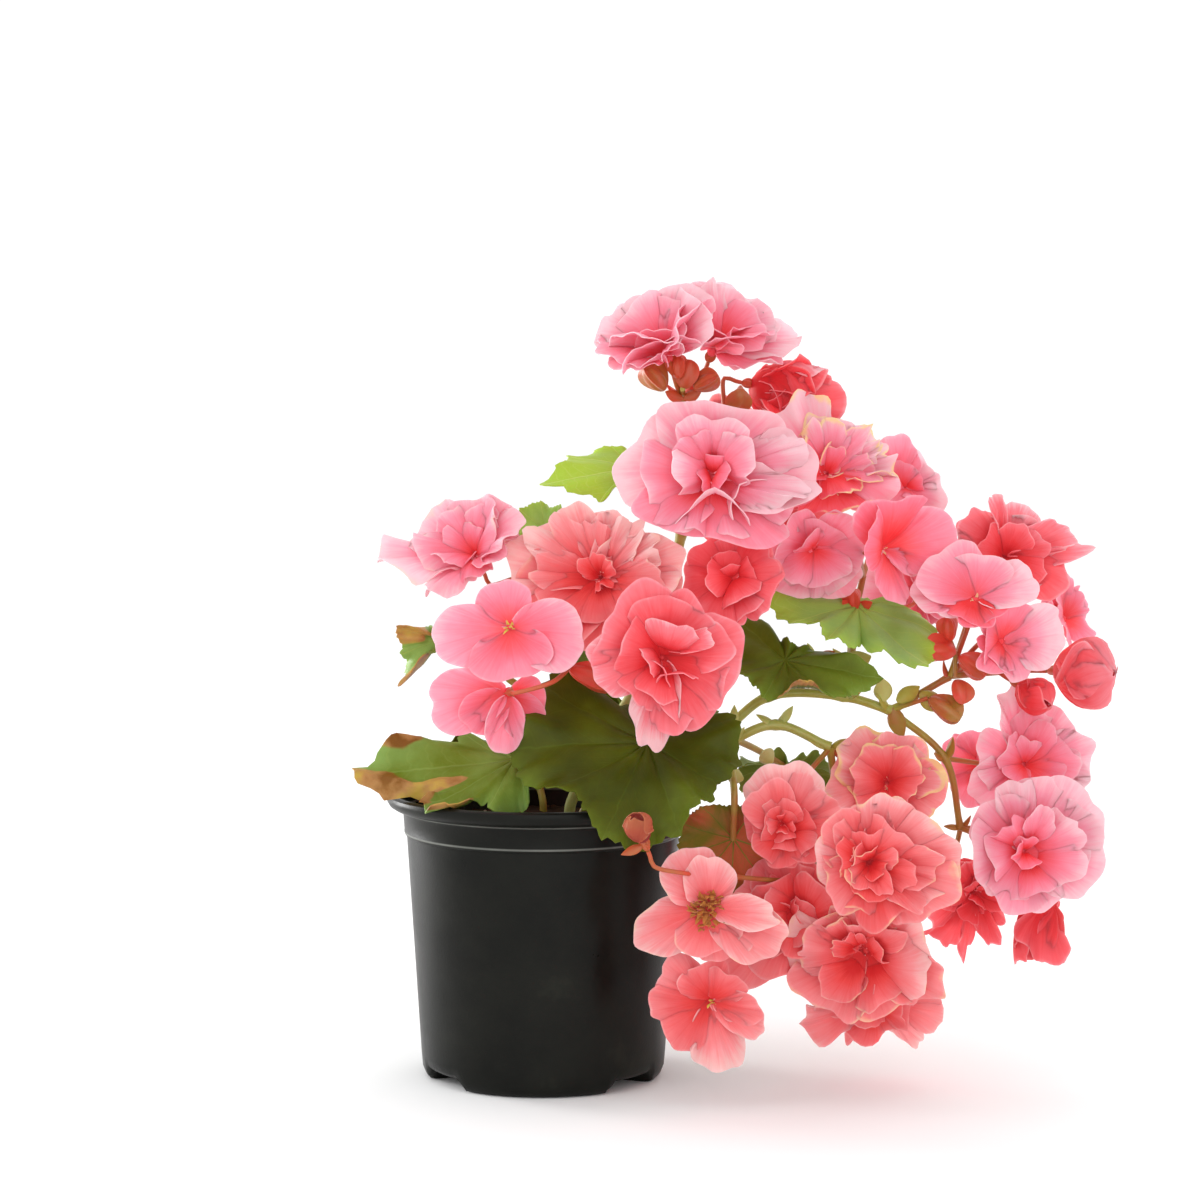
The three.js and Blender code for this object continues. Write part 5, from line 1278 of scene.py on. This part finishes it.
def centre_flaps(at, axes, kind, seeds):
    """The centre of a single bloom: its knobbed yellow-green pistil, or its dried brown tuft."""
    right, up, front = axes
    pieces = []
    count, size, spread, tone = CENTRES[kind]
    for _ in range(count):
        turn, out = seeds.uniform(0, math.tau), spread * math.sqrt(seeds.random())
        beside = (right * math.cos(turn) + up * math.sin(turn)) * out
        length = size * seeds.uniform(1.6, 2.8)
        curl = seeds.uniform(-1, 1)
        towards = front + beside / spread * 0.8
        pieces.append(flap(at + beside * 0.5, towards, up, length, size * 1.1, 0.5, curl))
        toned(pieces[-1], 0.5, 0.0, tone)
    return pieces


def throat_bead(at, front, depth, cup):
    """The cushion that the petals grow from: small in an open bloom, and it fills a cup's bottom."""
    radius = max(BEAD_RADIUS, cup * CUP_HEART)
    ahead = front * (0.85 * radius if cup else -0.0006)
    detail = 3 if cup else 2
    bpy.ops.mesh.primitive_ico_sphere_add(subdivisions=detail, radius=radius, location=at + ahead)
    bpy.ops.object.transform_apply(location=True, rotation=True, scale=True)
    toned(bpy.context.object, depth, 0.0, 0.0)
    return bpy.context.object


def petal_skin(name, rim, *stops):
    """A petal's finish: a dry rim, colours from the throat to the edge with fine veins, and a faint painted
    glow.
    """
    # The faint red emission is a painted glow: it stands in for light shining through the thin petals and
    # lifts their shaded parts.
    skin = finish(
        name, Roughness=0.55, Specular_IOR_Level=0.2, Subsurface_Weight=0.8, Subsurface_Scale=0.0015,
        Subsurface_Radius=(1.0, 1.0, 1.0), Emission_Color=(1.0, 0.13, 0.17, 1), Emission_Strength=0.06,
    )
    map_uv = add("TexCoord")["UV"]
    along = add("SeparateXYZ", Vector=map_uv)["Y"]
    tone = tones()
    stretched = add("Mapping", Vector=map_uv, Scale=(56, 1.6, 1))["Vector"]
    streaks = cloudy(stretched, 1, 4, 0.6)
    clouds = cloudy(add("TexCoord")["Object"], 70, 4)
    value = reckon("MULTIPLY_ADD", along, 0.62, 0.42)
    value = reckon("SUBTRACT", value, reckon("MULTIPLY", tone["Red"], 0.66))
    value = reckon("ADD", value, swing(streaks, 0.34))
    value = reckon("ADD", value, swing(clouds, 0.26))
    margin = reckon("MULTIPLY_ADD", clouds, 3.0, -1.0, clamp=True)
    margin = reckon("MULTIPLY", margin, mapped(along, 0.95, 0.99, 0.0, 0.45))
    edge = reckon("ADD", along, swing(clouds, 0.5))
    limit = reckon("MULTIPLY_ADD", tone["Green"], -0.12, 1.05)
    dried = mapped(reckon("SUBTRACT", edge, limit), -0.03, 0.05, 0.0, 1.0)
    dried = reckon("MULTIPLY", dried, reckon("MULTIPLY", tone["Green"], 1.6, clamp=True))
    core = ramp(tone["Blue"], (0.1, 0.93, 0.72, 0.62), (0.4, 0.80, 0.76, 0.32), (0.9, 0.64, 0.43, 0.16))
    colour = blended(margin, ramp(value, *stops), paint(*stops[-1][1:]))
    colour = blended(dried, colour, paint(*rim))
    colour = blended(reckon("MULTIPLY", tone["Blue"], 6.0, clamp=True), colour, core)
    connect(Base_Color=colour)
    raised(streaks, 0.35, 0.0004)
    return skin


PETAL_SKINS = {
    "pale": petal_skin(
        "petal_pale", (0.90, 0.78, 0.58),
        (0.0, 0.88, 0.17, 0.18), (0.22, 0.91, 0.30, 0.33), (0.5, 0.91, 0.43, 0.51),
        (0.78, 0.90, 0.56, 0.63), (1.0, 0.88, 0.72, 0.75),
    ),
    "coral": petal_skin(
        "petal_coral", (0.88, 0.68, 0.46),
        (0.0, 0.78, 0.08, 0.09), (0.25, 0.85, 0.18, 0.20), (0.55, 0.89, 0.32, 0.35),
        (0.85, 0.91, 0.49, 0.53), (1.0, 0.91, 0.70, 0.72),
    ),
    "salmon": petal_skin(
        "petal_salmon", (0.88, 0.74, 0.54),
        (0.0, 0.78, 0.11, 0.10), (0.22, 0.85, 0.24, 0.23), (0.5, 0.88, 0.38, 0.39),
        (0.8, 0.90, 0.54, 0.55), (1.0, 0.90, 0.72, 0.71),
    ),
    "bud": petal_skin(
        "petal_bud", (0.6, 0.4, 0.2),
        (0.0, 0.45, 0.13, 0.08), (0.5, 0.60, 0.28, 0.17), (1.0, 0.64, 0.40, 0.24),
    ),
}

for index, (name, bloom) in enumerate(BLOOMS.items()):
    seeds = random.Random(100 + index)
    at = np.array(bloom["at"]) / MM
    axes = facing_frame(*bloom["facing"])
    skin = PETAL_SKINS[bloom["look"]]
    ruffle, dry, glow = bloom.get("ruffle", 1.0), bloom.get("dry", 0.0), bloom.get("glow", 1.0)
    cup = bloom.get("cup", 0) / MM
    rows = [in_metres(row) for row in bloom["petals"]]
    reach = max(row[1] for row in rows)
    depth = sum(row[4] for row in rows) / len(rows)
    parts = []
    for count, row in enumerate(rows):
        if cup:
            parts.append(cupped(at, axes, row, seeds, cup, ruffle, dry, glow))
        else:
            forward = OUTER_STEP * count
            parts.append(petal(outer_blank, at, axes, row, seeds, reach, forward, ruffle, dry, glow))
    rows = [in_metres(row) for row in bloom.get("inner", [])]
    if "heart" in bloom:
        rows += heart_rows(bloom["heart"] / MM, depth, seeds, bloom.get("crowd", HEART_CROWD))
    for count, row in enumerate(rows):
        forward = INNER_FROM + INNER_STEP * count
        parts.append(petal(inner_blank, at, axes, row, seeds, reach, forward, ruffle * 1.2, dry, glow))
    piece = joined(f"{name}_bloom", parts)
    thickened(piece, PETAL_THICKNESS)
    extras = [throat_bead(at, axes[2], depth + 0.3, cup)]
    if "centre" in bloom:
        extras += centre_flaps(at, axes, bloom["centre"], seeds)
    for part in (piece, *extras):
        coated(part, skin)
    seat = pod(behind(name, BEHIND_BLOOM[2]), axes[2], *SEAT, wings=0.6)
    coated(seat, stem_skin)
    piece = joined(f"{name}_bloom", [piece, *extras, seat])
    bpy.ops.object.shade_smooth_by_angle(angle=SMOOTH_UNDER)
    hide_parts(name if name.startswith("bud_") else f"bloom_{name}")
    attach(piece, "root")


for blank in (outer_blank, inner_blank, leaf_blank, flap_blank, pod_blank):
    bpy.data.objects.remove(blank)
